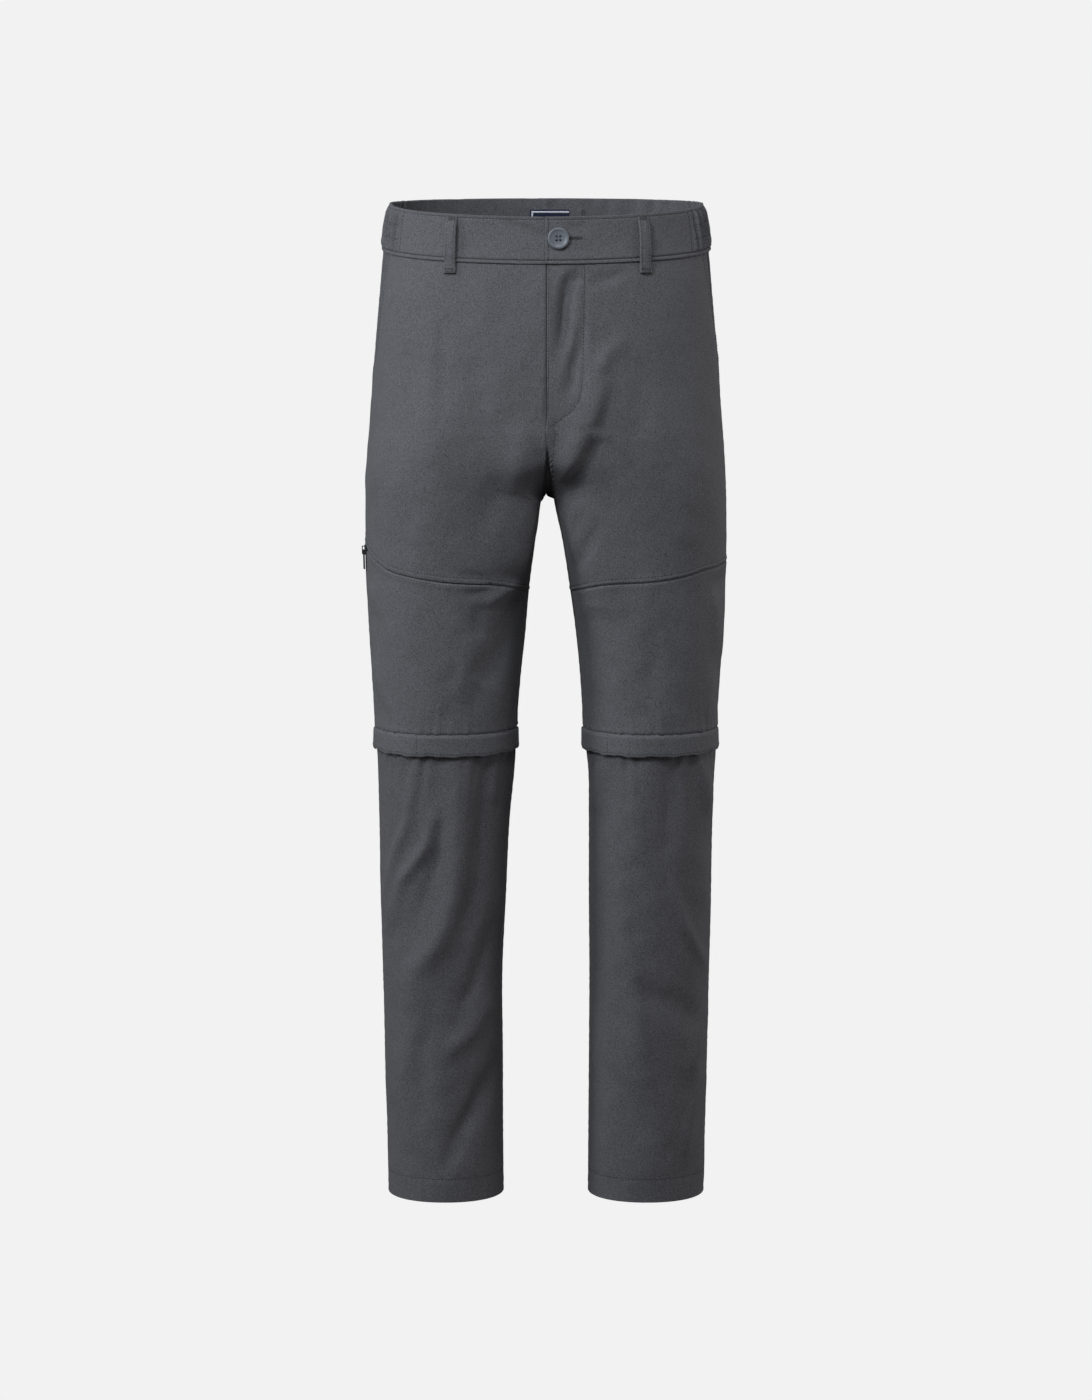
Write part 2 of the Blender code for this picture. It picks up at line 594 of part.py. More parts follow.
def make_pocket_facing(side):
    """The cloth seen inside the slanted pocket mouth. It lies just behind the front and the back."""
    share, z = front_grid(side)
    share, z = share[:POCKET_ROWS, -3:], z[:POCKET_ROWS, -3:]
    gap = 1.0 - share[:, -1:]
    beyond = np.array([[0.5, 1.0]])
    front_share = np.concatenate([share, share[:, -1:] + gap * beyond], axis=1)
    side_z = front_heights(side, np.array([[1.0, 1.0]]), 1 - POCKET_TOP_SHARE * (1 - beyond))[:POCKET_ROWS]
    front_z = np.concatenate([z, side_z], axis=1)
    back_share, back_z = back_grid()
    behind = CLOTH + SEAM + CLEAR
    faces = []
    for inward in (behind, behind + CLOTH):
        front = skin(upper_face, side, "front", front_share, front_z, inward)
        back = skin(upper_face, side, "back", back_share[:, -2:-1], back_z[:POCKET_ROWS, -2:-1], inward)
        faces.append(trimmed(np.concatenate([front, back], axis=1), ("top",)))
    wall("pocket_facing_" + side, faces[0], faces[1], "cloth")


def make_lower_leg(side, half):
    """One panel of the zip-off lower leg, thicker in the turned-up hem."""
    share = shares(LOWER_COLUMNS_OF_POINTS)[None, :]
    top = ZIP_BOTTOM - SEAM
    body = np.linspace(top, HEM + HEM_FOLD + 0.001, LOWER_ROWS - 2)
    z = np.concatenate([body, [HEM + HEM_FOLD, HEM]])[:, None] + 0 * share
    thickness = np.where(z < HEM + HEM_FOLD + CLEAR, CLOTH + HEM_LAYER, CLOTH)
    outer = trimmed(skin(lower_face, side, half, share, z, 0.0), ("inner", "outer"))
    inner = trimmed(skin(lower_face, side, half, share, z, thickness), ("inner", "outer"))
    wall(f"lower_leg_{half}_{side}", outer, inner, "cloth_lower")


def ring_grid(side, z, inward):
    """Points all round one leg at the knee, front half first, with a height and an inset for every point."""
    front = np.linspace(0.0, 1.0, KNEE_COLUMNS, endpoint=False)[None, :]
    inward = inward + 0 * z
    ahead, behind = slice(0, KNEE_COLUMNS), slice(KNEE_COLUMNS, None)
    halves = [
        skin(upper_face, side, "front", front, z[:, ahead], inward[:, ahead]),
        skin(upper_face, side, "back", 1.0 - front, z[:, behind], inward[:, behind]),
    ]
    return np.concatenate(halves, axis=1)


def make_knee_flap(side):
    """The storm flap that hangs over the knee zip, a little proud of the leg."""
    front = np.linspace(0, 1, KNEE_COLUMNS, endpoint=False)
    drop = FLAP_BOTTOM - FLAP_SAG * np.sin(math.pi * np.concatenate([front, 1.0 - front]))
    depth, proud = np.array(FLAP_ROWS).T[:, :, None]
    z = (KNEE_SEAM - SEAM) + depth * (drop - KNEE_SEAM + SEAM)[None, :]
    outer, inner = ring_grid(side, z, -proud), ring_grid(side, z, FLAP_CLOTH - proud)
    wall("knee_flap_" + side, outer, inner, "cloth", ring=True)


def make_knee_zip(side):
    """The zip round the knee, under the flap: both tapes and the coil between them as one ring."""
    heights, inset = np.array(ZIP_ROWS).T[:, :, None]
    z = np.repeat(heights, 2 * KNEE_COLUMNS, axis=1)
    behind = FLAP_CLOTH + SEAM + inset
    outer, inner = ring_grid(side, z, behind), ring_grid(side, z, behind + KNEE_TAPE)
    wall("knee_zip_" + side, outer, inner, "tape", ring=True)


def band_rows(half, share):
    """Heights of the waistband's rows of points."""
    return band_top(half, share) - np.array(BAND_ROWS)[:, None] * (BAND_HEIGHT - SEAM)


def band_grids(side, half, share, inset=0.0):
    """Outer and inner points of a stretch of waistband. Its edges are rolled a little, as folded cloth is."""
    z = band_rows(half, share)
    rolled = np.array(BAND_ROLLED_EDGES)[:, None]
    outer = skin(upper_face, side, half, share, z, rolled + inset - BAND_PROUD)
    inner = skin(upper_face, side, half, share, z, BAND_CLOTH - BAND_PROUD - rolled + inset)
    return outer, inner


def make_waistband_front(side):
    """Front waistband. The right one runs on behind the left one as the button stand."""
    share = np.linspace(0.0, elastic_edge("front"), BAND_COLUMNS)[None, :]
    grids = band_grids(side, "front", share)
    if side == "left":
        faces = [trimmed(grid, ("inner", "outer")) for grid in grids]
    else:
        lap = band_grids("left", "front", np.array([BAND_LAP_SHARES]), BAND_CLOTH + SEAM + 2 * CLEAR)
        whole = [np.concatenate([under, grid[:, 1:]], axis=1) for under, grid in zip(lap, grids)]
        faces = [trimmed(grid, ("outer",)) for grid in whole]
    wall("waistband_front_" + side, faces[0], faces[1], "cloth")


def make_waistband_elastic(side):
    """Side waistband, gathered on elastic from just ahead of the side seam to just behind it."""
    ahead = GATHERS * COLUMNS_PER_GATHER // 2
    behind = ahead + COLUMNS_PER_GATHER - 1
    front = np.linspace(elastic_edge("front"), 1.0, ahead, endpoint=False)[None, :]
    back = np.linspace(1.0, elastic_edge("back"), behind)[None, :]
    steps = np.arange(ahead + behind)
    wave = np.cos(2 * math.pi * steps / COLUMNS_PER_GATHER) * GATHER_LIFT
    wave = wave * np.sin(math.pi * steps / steps[-1]) ** 0.4
    rolled = np.array(BAND_ROLLED_EDGES)[:, None]
    outers, inners = [], []
    for half, share, lift in (("front", front, wave[:ahead]), ("back", back, wave[ahead:])):
        z = band_rows(half, share)
        outers.append(skin(upper_face, side, half, share, z, rolled - BAND_PROUD - lift))
        inners.append(skin(upper_face, side, half, share, z, BAND_CLOTH - BAND_PROUD - lift))
    outer = trimmed(np.concatenate(outers, axis=1), ("inner", "outer"))
    inner = trimmed(np.concatenate(inners, axis=1), ("inner", "outer"))
    wall("waistband_elastic_" + side, outer, inner, "cloth")


def make_waistband_back():
    """Back waistband, in one piece across the middle."""
    share = np.linspace(elastic_edge("back"), 0.0, BAND_COLUMNS)[None, :]
    right = band_grids("right", "back", share)
    left = band_grids("left", "back", share[:, ::-1])
    whole = [np.concatenate([r[:, :-1], l[:, 1:]], axis=1) for r, l in zip(right, left)]
    outer, inner = (trimmed(grid, ("inner", "outer")) for grid in whole)
    wall("waistband_back", outer, inner, "cloth")


def make_fly_shield():
    """The strip behind the fly that the zip closes on. It follows the fronts' own points."""
    behind = CLOTH + SEAM + 2 * FLY_EDGE_RISE + CLEAR
    faces = []
    for inward in (behind, behind + CLOTH):
        parts = {}
        for side in SIGN:
            share, z = front_grid(side)
            parts[side] = skin(upper_face, side, "front", share[:FLY_ROWS, :3], z[:FLY_ROWS, :3], inward)
        strip = np.concatenate([parts["right"][:, 1:2], parts["left"]], axis=1)
        faces.append(trimmed(strip, ("top",)))
    wall("fly_shield", faces[0], faces[1], "cloth")


def make_belt_loop(name, side, half, from_middle):
    """A strip sewn down at the waistband's top edge and below its seam, standing off between them."""
    share = float(share_at(half, from_middle))
    top = float(band_top(half, share)) - LOOP_BELOW_TOP
    bottom = float(band_bottom(half, share)) - LOOP_BELOW_SEAM
    down, stand_off, folded = np.array(LOOP_ROWS).T[:, :, None]
    z = top + down * (bottom - top)
    if from_middle == 0.0:
        across = (("right", (LOOP_WIDTH / 2, CLEAR)), ("left", (CLEAR, LOOP_WIDTH / 2)))
    else:
        across = ((side, (from_middle - LOOP_WIDTH / 2, from_middle, from_middle + LOOP_WIDTH / 2)),)
    spots = [(s, np.array([share_at(half, np.array(away), row) for row in z[:, 0]])) for s, away in across]
    under = BAND_PROUD + SEAM + CLEAR + stand_off * (LOOP_STAND_OFF - SEAM)
    faces = []
    for lift in (under + folded * LOOP_FOLDED_END + LOOP_CLOTH, under):
        strips = [skin(upper_face, s, half, u, z + 0 * u, -lift) for s, u in spots]
        faces.append(np.concatenate(strips, axis=1))
    wall(name, faces[0], faces[1], "cloth")


def frame_at(side, half, share, z):
    """A point on the outer face, with its outward, downward and sideways directions."""
    share, z = np.array([share]), np.array([z])
    point = Vector(upper_face(side, half, share, z)[0])
    out = Vector(normals(upper_face, side, half, share, z)[0])
    down = (Vector((0, 0, -1)) - out * out.dot(Vector((0, 0, -1)))).normalized()
    return point, out, down, out.cross(down).normalized()


def placement(point, down, across, out):
    """The matrix that takes a piece drawn along X (down), Y (across) and Z (outward) to its place."""
    turned = Matrix((down, across, out)).transposed().to_4x4()
    return Matrix.Translation(point) @ turned


def box_mesh(name, size, centre=(0, 0, 0), bevel=0.0):
    work = bmesh.new()
    bmesh.ops.create_cube(work, size=1.0)
    bmesh.ops.scale(work, vec=size, verts=work.verts)
    bmesh.ops.translate(work, vec=centre, verts=work.verts)
    if bevel:
        bmesh.ops.bevel(work, geom=work.edges[:], offset=bevel, segments=2, affect="EDGES", profile=0.5)
    mesh = bpy.data.meshes.new(name)
    work.to_mesh(mesh)
    work.free()
    return mesh


def guide(name, mesh, matrix):
    """A shape that only cuts or joins another one."""
    thing = bpy.data.objects.new(name, mesh)
    bpy.context.scene.collection.objects.link(thing)
    thing.matrix_world = matrix
    thing.hide_render = True
    thing.display_type = "WIRE"
    return thing


def boolean(thing, other, operation):
    modifier = thing.modifiers.new(operation.lower(), "BOOLEAN")
    modifier.operation = operation
    modifier.object = other
    modifier.solver = "EXACT"


def slider_window_height():
    """Height of the opening under the slider's bridge."""
    return BRIDGE_SIZE[2] - BRIDGE_BAR - BRIDGE_SUNK


def make_slider():
    """The thigh zip's slider at its closed end: a rounded body with a bridge for the pull to hang from."""
    point, out, down, across = frame_at("right", "front", SLIDER_SHARE, SLIDER_Z)
    height = SLIDER_SIZE[2]
    place = placement(point + out * SLIDER_CLEAR, down, across, out)
    block = box_mesh("slider", SLIDER_SIZE, (0, 0, height / 2), SLIDER_EDGE)
    body = add_object("thigh_zip_slider", block, "metal")
    body.matrix_world = place
    arch = box_mesh("bridge", BRIDGE_SIZE, (0, 0, height + BRIDGE_SIZE[2] / 2 - BRIDGE_SUNK))
    boolean(body, guide("bridge_guide", arch, place), "UNION")
    tall = slider_window_height()
    size = (BRIDGE_SIZE[0] - 2 * BRIDGE_BAR, CUT_THROUGH, tall)
    window = box_mesh("window", size, (0, 0, height + tall / 2))
    boolean(body, guide("bridge_window", window, place), "DIFFERENCE")


def make_pull():
    """The flat pull tab. Its origin is on its hinge axis, the bar that passes under the bridge."""
    point, out, down, across = frame_at("right", "front", SLIDER_SHARE, SLIDER_Z)
    centre = point + out * (SLIDER_CLEAR + SLIDER_SIZE[2] + slider_window_height() / 2)
    middle = (PULL_LENGTH - PULL_TOP_BAR) / 2
    tab = box_mesh("pull", (PULL_LENGTH, PULL_WIDTH, PULL_THICKNESS), (middle, 0, 0), PULL_EDGE)
    thing = add_object("thigh_zip_pull", tab, "metal")
    place = placement(centre, down, across, out)
    thing.matrix_world = place
    eye_length, eye_width = PULL_EYE
    eye = box_mesh("eye", (eye_length, eye_width, CUT_THROUGH), ((PULL_TOP_BAR + eye_length) / 2, 0, 0))
    boolean(thing, guide("pull_eye", eye, place), "DIFFERENCE")


def make_thigh_zip():
    """The thigh pocket's zip tape, behind the groove. It follows the points of the two panels beside it."""
    columns = slice(ZIP_FIRST_COLUMN, PANEL_COLUMNS)
    front_share, front_z = front_grid("right")
    thigh_share, thigh_z = thigh_grid("right")
    behind = CLOTH + SEAM + CLEAR
    faces = []
    for inward in (behind, behind + TAPE):
        above = skin(upper_face, "right", "front", front_share[-2:, columns], front_z[-2:, columns], inward)
        below = skin(upper_face, "right", "front", thigh_share[:, columns], thigh_z[:2, columns], inward)
        faces.append(trimmed(np.concatenate([above, below]), ("outer",)))
    wall("thigh_zip_tape", faces[0], faces[1], "tape")


def make_button():
    """A four-hole button with a raised rim, on the waistband's left end."""
    share = float(share_at("front", BUTTON_FROM_MIDDLE))
    point, out, down, across = frame_at("left", "front", share, BUTTON_Z)
    place = placement(point + out * (BAND_PROUD + SEAM + 3 * CLEAR), down, across, out)
    work = bmesh.new()
    spots = [work.verts.new((r * BUTTON_DIAMETER / 2, 0, h * BUTTON_THICKNESS)) for r, h in BUTTON_PROFILE]
    edges = [work.edges.new(pair) for pair in zip(spots, spots[1:])]
    bmesh.ops.spin(
        work, geom=spots + edges, axis=(0, 0, 1), cent=(0, 0, 0), steps=BUTTON_TURNS, angle=2 * math.pi
    )
    bmesh.ops.remove_doubles(work, verts=work.verts, dist=CLEAR / 10)
    bmesh.ops.recalc_face_normals(work, faces=work.faces)
    mesh = bpy.data.meshes.new("button")
    work.to_mesh(mesh)
    work.free()
    button = add_object("button", mesh, "button")
    button.matrix_world = place
    offset = BUTTON_HOLE_SPACING / 2 * math.sqrt(0.5)
    for i, (x, y) in enumerate(((1, 1), (1, -1), (-1, 1), (-1, -1))):
        work = bmesh.new()
        radius = BUTTON_HOLE_RADIUS
        bmesh.ops.create_cone(work, cap_ends=True, segments=12, radius1=radius, radius2=radius, depth=0.02)
        bmesh.ops.translate(work, vec=(x * offset, y * offset, 0), verts=work.verts)
        hole = bpy.data.meshes.new("button_hole")
        work.to_mesh(hole)
        work.free()
        boolean(button, guide(f"button_hole_{i}", hole, place), "DIFFERENCE")


def make_label():
    """A small woven label sewn inside the back waistband. It shares a column of points with the waistband."""
    column = elastic_edge("back") / (BAND_COLUMNS - 1)
    right = np.array([[float(share_at("back", LABEL_REACH["right"]))]])
    left = np.array([[0.0, column, float(share_at("back", LABEL_REACH["left"]))]])
    z = np.linspace(LABEL_TOP, LABEL_TOP - LABEL_HEIGHT, 3)[:, None]
    inside = BAND_CLOTH - BAND_PROUD + SEAM + LABEL_CLEAR
    faces = []
    for inward in (inside, inside + LABEL_CLOTH):
        right_part = skin(upper_face, "right", "back", right, z + 0 * right, inward)
        left_part = skin(upper_face, "left", "back", left, z + 0 * left, inward)
        faces.append(np.concatenate([right_part, left_part], axis=1))
    wall("label", faces[0], faces[1], "label")


def main():
    for thing in list(bpy.data.objects):
        bpy.data.objects.remove(thing)
    for side in SIGN:
        make_front(side)
        make_thigh_front(side)
        make_back(side)
        make_pocket_facing(side)
        make_knee_flap(side)
        make_knee_zip(side)
        make_lower_leg(side, "front")
        make_lower_leg(side, "back")
        make_waistband_front(side)
        make_waistband_elastic(side)
    make_waistband_back()
    make_fly_shield()
    for place in LOOP_PLACES:
        make_belt_loop(*place)
    make_button()
    make_label()
    make_thigh_zip()
    make_slider()
    make_pull()


main()
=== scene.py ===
"""Convertible zip-off trousers, filled out as if worn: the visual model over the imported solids.

Laid out as an add-on and run as a script. Every length is in metres unless a name ends in _mm. The origin
is the middle of the waist, the front faces -Y and the garment's own left leg is at +X.
"""

import math

import bmesh
import bpy
import numpy as np
from bpy.props import FloatProperty, FloatVectorProperty, PointerProperty
from mathutils import Matrix, Vector


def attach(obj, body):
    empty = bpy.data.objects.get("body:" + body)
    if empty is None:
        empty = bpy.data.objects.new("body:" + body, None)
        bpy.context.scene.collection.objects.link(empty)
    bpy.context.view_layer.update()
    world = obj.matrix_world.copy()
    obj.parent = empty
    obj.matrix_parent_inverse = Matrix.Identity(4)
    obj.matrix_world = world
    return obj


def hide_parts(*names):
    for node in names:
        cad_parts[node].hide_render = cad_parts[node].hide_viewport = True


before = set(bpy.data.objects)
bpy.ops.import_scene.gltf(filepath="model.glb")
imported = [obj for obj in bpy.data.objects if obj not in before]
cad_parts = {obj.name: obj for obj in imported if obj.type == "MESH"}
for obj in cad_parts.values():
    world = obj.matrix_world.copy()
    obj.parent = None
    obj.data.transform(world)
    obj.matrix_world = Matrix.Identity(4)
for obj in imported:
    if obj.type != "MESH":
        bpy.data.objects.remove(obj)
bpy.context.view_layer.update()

bl_info = {
    "name": "Zip-off Trousers",
    "version": (1, 0, 0),
    "blender": (4, 5, 0),
    "location": "3D View > Sidebar > Trousers",
    "description": "Builds the cloth, stitching, zips and button of zip-off trousers, and a plain studio",
    "category": "Add Mesh",
}

SIGN = {"left": 1.0, "right": -1.0}
OUTWARD = {"front": 1.0, "back": -1.0}

# The levels that the solids share with this model
CROTCH = -0.2965
KNEE_SEAM = -0.553
FLAP_BOTTOM = -0.5755
ZIP_BOTTOM = -0.5705
HEM = -1.0745
HEM_FOLD = 0.026
HEM_LAYER = 0.0006
KNEE_COIL = -0.5640
KNEE_TAPE = 0.0012
THIGH_TAPE = 0.0010
FACING_CLOTH = 0.0012
SEAM = 0.0003
HAIRLINE = 0.00001
PROBE = 0.0004
FORK_TOP = {"front": -0.150, "back": -0.120}
FORK_PACE = {"front": 2.0, "back": 1.4}
CROTCH_ARCH = 0.003
PART_ABOVE = 0.055
PART_BELOW = 0.012
ARCH_REACH = 0.20
SQUARE_REACH = 0.50
SQUARE_EASE = 0.045
SQUARE_ROUNDS = 6
BAND_TOP_SIDE = 0.0190
BAND_TOP = {"front": 0.0066, "back": 0.0210}
BAND_HEIGHT = 0.0496
BAND_PROUD = 0.0006
ELASTIC_REACH = {"front": 0.054, "back": 0.055}
POCKET_TOP_SHARE = 0.170
POCKET_DEPTH = 0.150
ZIP_INNER_END = 0.35
ZIP_GROOVE = 0.0014

LOWER_COLUMNS = ("height", "outer", "front", "back", "seam_y", "inner_right", "inner_left", "square")
UPPER_COLUMNS = (*LOWER_COLUMNS, "front_inner_square")
UPPER_SECTIONS = (
    (0.030, 0.1650, -0.0920, 0.0960, 0.000, 0.0066, 0.0085, 2.35, 2.35),
    (0.000, 0.1735, -0.0960, 0.0990, 0.000, 0.0066, 0.0085, 2.35, 2.35),
    (-0.035, 0.1768, -0.1015, 0.1060, 0.000, 0.0066, 0.0085, 2.35, 2.35),
    (-0.080, 0.1808, -0.1090, 0.1200, 0.000, 0.0066, 0.0085, 2.40, 2.40),
    (-0.140, 0.1860, -0.1150, 0.1370, 0.000, 0.0066, 0.0085, 2.45, 2.60),
    (-0.200, 0.1906, -0.1160, 0.1440, 0.002, 0.0066, 0.0085, 2.45, 3.20),
    (-0.255, 0.1948, -0.1130, 0.1400, 0.004, 0.0066, 0.0085, 2.35, 4.00),
    (-0.295, 0.1968, -0.1078, 0.1296, 0.006, 0.0068, 0.0080, 2.26, 4.50),
    (-0.350, 0.1973, -0.1010, 0.1150, 0.006, 0.0122, 0.0186, 2.15, 4.20),
    (-0.400, 0.1960, -0.0960, 0.1050, 0.005, 0.0187, 0.0264, 2.10, 3.00),
    (-0.450, 0.1938, -0.0915, 0.0960, 0.003, 0.0230, 0.0332, 2.10, 2.30),
    (-0.500, 0.1906, -0.0870, 0.0870, 0.001, 0.0283, 0.0380, 2.10, 2.20),
    (-0.553, 0.1880, -0.0830, 0.0800, 0.000, 0.0319, 0.0407, 2.10, 2.15),
    (-0.600, 0.1890, -0.0820, 0.0790, 0.000, 0.0310, 0.0410, 2.10, 2.15),
)
LOWER_SECTIONS = (
    (-0.560, 0.1862, -0.0800, 0.0770, 0.000, 0.0338, 0.0432, 2.10),
    (-0.600, 0.1845, -0.0775, 0.0755, 0.000, 0.0352, 0.0470, 2.10),
    (-0.650, 0.1832, -0.0755, 0.0765, 0.001, 0.0398, 0.0474, 2.10),
    (-0.740, 0.1820, -0.0720, 0.0775, 0.003, 0.0443, 0.0475, 2.10),
    (-0.830, 0.1800, -0.0690, 0.0760, 0.004, 0.0485, 0.0482, 2.10),
    (-0.920, 0.1782, -0.0665, 0.0735, 0.004, 0.0480, 0.0478, 2.10),
    (-1.010, 0.1760, -0.0645, 0.0710, 0.003, 0.0478, 0.0472, 2.10),
    (-1.080, 0.1748, -0.0640, 0.0700, 0.003, 0.0472, 0.0468, 2.10),
)
THIGH_SEAM_COLUMNS = ("share", "right", "left")
THIGH_SEAM = (
    (0.00, -0.4040, -0.4040),
    (0.16, -0.3970, -0.3980),
    (0.35, -0.3890, -0.3885),
    (0.50, -0.3858, -0.3858),
    (0.64, -0.3805, -0.3808),
    (0.74, -0.3755, -0.3752),
    (0.83, -0.3670, -0.3735),
    (0.88, -0.3612, -0.3722),
    (0.94, -0.3530, -0.3705),
    (1.00, -0.3440, -0.3685),
)

# Folds, in millimetres. A trough's lift is negative. The widths are those on the left and the right of the
# way the path runs in X and Z, so a fold may be steep on one side and soft on the other.
FOLDS = (
    ("front", 9, 6, -5.4, ((34, -48), (23, -64), (19, -85), (17, -115), (13, -140))),
    ("front", 6, 4.5, -3.2, ((37, -108), (34, -131), (28, -152), (24, -180))),
    ("front", 7, 6, -1.3, ((45, -67), (64, -59), (88, -50))),
    ("front", 12, 12, -2.6, ((64, -192), (54, -228), (41, -264), (27, -300))),
    ("front", 8, 10, 2, ((88, -118), (68, -140), (46, -170))),
    ("front", 8, 22, 6.6, ((64, -158), (54, -196), (46, -222), (34, -246), (20, -264), (8, -282))),
    ("front", 10, 40, 6, ((-3, -212), (-4, -262), (-8, -302), (-20, -345), (-32, -385))),
    ("front", 40, 12, 4, ((16, -288), (30, -330), (44, -380), (50, -430))),
    ("front", 10, 12, 1.2, ((-123, -100), (-123, -155), (-124, -215))),
    ("front", 7, 7, -0.9, ((-112, -96), (-112, -155), (-113, -212))),
    ("front", 12, 12, -1.4, ((-78, -138), (-76, -166), (-73, -187), (-66, -222))),
    ("front", 8, 10, 1.2, ((-170, -222), (-180, -259), (-188, -295))),
    ("front", 10, 14, -1.8, ((102, -140), (103, -187), (102, -232))),
    ("front", 10, 8, -2.2, ((-8, -236), (-4, -268), (-3, -298))),
    ("front", 14, 14, 2, ((-22, -200), (-28, -245), (-40, -290))),
    ("front", 12, 12, -1.4, ((-44, -262), (-60, -300), (-72, -345))),
    ("front", 5, 6, -1.4, ((-95, -376), (-77, -379), (-58, -383))),
    ("front", 5, 5, -1.2, ((-90, -400), (-75, -398), (-60, -393))),
    ("front", 6, 7, 2.4, ((-24, -388), (-46, -399), (-67, -411))),
    ("front", 8, 7, -2, ((-70, -408), (-75, -429), (-71, -452))),
    ("front", 12, 18, -4, ((-24, -394), (-38, -424), (-43, -454), (-54, -479), (-66, -503))),
    ("front", 12, 10, 2.2, ((-78, -440), (-86, -475), (-92, -520))),
    ("front", 6, 7, -1.6, ((43, -305), (39, -319), (36, -334))),
    ("front", 7, 8, -2, ((54, -325), (45, -350), (33, -376))),
    ("front", 3, 4, 0.7, ((45, -412), (68, -412))),
    ("front", 6, 6, -1.8, ((192, -382), (182, -404))),
    ("front", 6, 6, 1.8, ((181, -396), (185, -432), (188, -478))),
    ("front", 6, 7, 1.4, ((180, -478), (179, -509), (178, -546))),
    ("front", 6, 6, 1.4, ((-188, -392), (-183, -426))),
    ("front", 6, 6, 1.4, ((-186, -474), (-182, -502), (-172, -530))),
    ("front", 12, 12, -1.3, ((110, -420), (118, -460), (112, -510))),
    ("front", 14, 12, 1.3, ((-130, -300), (-140, -340), (-142, -372))),
    ("front", 16, 14, 1.4, ((140, -260), (150, -305), (152, -350))),
    ("back", 18, 12, -4, ((18, -225), (60, -262), (105, -278), (150, -280))),
    ("back", 12, 18, -4, ((-20, -232), (-62, -256), (-110, -280), (-155, -296))),
    ("back", 14, 14, 2.8, ((36, -296), (85, -322), (140, -330))),
    ("back", 14, 14, 2.8, ((-34, -292), (-80, -326), (-142, -346))),
    ("back", 12, 10, -2.2, ((50, -352), (98, -374), (150, -372))),
    ("back", 12, 10, -2.2, ((-46, -346), (-96, -366), (-150, -386))),
    ("back", 10, 12, -1.8, ((10, -55), (30, -90), (36, -130))),
    ("back", 12, 10, -1.8, ((-12, -55), (-34, -88), (-42, -136))),
    ("back", 12, 12, -2.8, ((50, -470), (100, -496), (160, -492))),
    ("back", 12, 12, -2.8, ((-44, -482), (-98, -502), (-158, -480))),
    ("back", 10, 12, 2, ((60, -510), (110, -526), (160, -520))),
    ("back", 10, 12, 2, ((-56, -516), (-108, -528), (-158, -510))),
)
LOWER_FOLDS = (
    ("front", 6, 5, 3.4, ((-145, -583), (-148, -621), (-152, -652), (-163, -682),
     (-171, -713), (-175, -739), (-174, -775))),
    ("front", 7, 6, 3.4, ((-121, -635), (-130, -675), (-143, -695),
     (-157, -716), (-164, -739), (-170, -772))),
    ("front", 14, 13, 5.5, ((-92, -585), (-95, -626), (-96, -669), (-98, -716),
     (-108, -761), (-121, -787), (-142, -815), (-150, -846))),
    ("front", 12, 8, -5.2, ((-71, -580), (-68, -612), (-70, -656), (-74, -683), (-79, -725), (-90, -768))),
    ("front", 4, 4, 2.3, ((-57, -592), (-57, -632))),
    ("front", 9, 9, -1.4, ((-112, -640), (-118, -690), (-134, -738), (-150, -780))),
    ("front", 9, 9, -3.4, ((-56, -762), (-67, -798), (-78, -832), (-98, -868))),
    ("front", 9, 10, 2.6, ((-60, -850), (-82, -885), (-110, -910))),
    ("front", 12, 9, -4.7, ((-54, -920), (-78, -970), (-96, -1000), (-108, -1030))),
    ("front", 10, 12, 2.6, ((-156, -895), (-159, -963), (-146, -1025))),
    ("front", 10, 10, -1.8, ((-128, -860), (-136, -920), (-130, -985))),
    ("front", 10, 9, 3.4, ((62, -580), (56, -617), (50, -645))),
    ("front", 12, 10, -3.4, ((137, -578), (135, -631), (132, -690))),
    ("front", 7, 6, 3.1, ((168, -578), (173, -612), (177, -648))),
    ("front", 12, 14, 2.1, ((95, -590), (98, -640), (104, -700))),
    ("front", 6, 6, 2.9, ((135, -712), (150, -764), (163, -791), (177, -816))),
    ("front", 6, 7, 2.6, ((176, -862), (169, -897), (160, -934))),
    ("front", 7, 7, 2.6, ((169, -932), (160, -980), (152, -1028))),
    ("front", 14, 18, -2.4, ((92, -828), (119, -846), (142, -852), (170, -884))),
    ("front", 10, 12, 2.3, ((83, -700), (86, -774), (96, -815), (103, -892), (115, -950))),
    ("front", 10, 10, -1.8, ((68, -920), (90, -960), (118, -1010))),
    ("front", 60, 18, 3.2, ((72, -620), (75, -840), (73, -1060))),
    ("back", 12, 14, -4.4, ((55, -640), (105, -668), (170, -660))),
    ("back", 14, 12, -4.4, ((-55, -650), (-112, -670), (-166, -645))),
    ("back", 10, 10, 3.4, ((60, -700), (100, -716), (150, -704))),
    ("back", 10, 10, 3.1, ((-64, -706), (-110, -716), (-154, -700))),
    ("back", 14, 12, 3.9, ((86, -750), (95, -880), (90, -1010))),
    ("back", 12, 14, 3.9, ((-136, -740), (-122, -860), (-126, -1000))),
    ("back", 10, 10, -2.6, ((132, -790), (128, -890), (140, -990))),
    ("back", 10, 10, -2.6, ((-92, -780), (-86, -890), (-94, -990))),
)

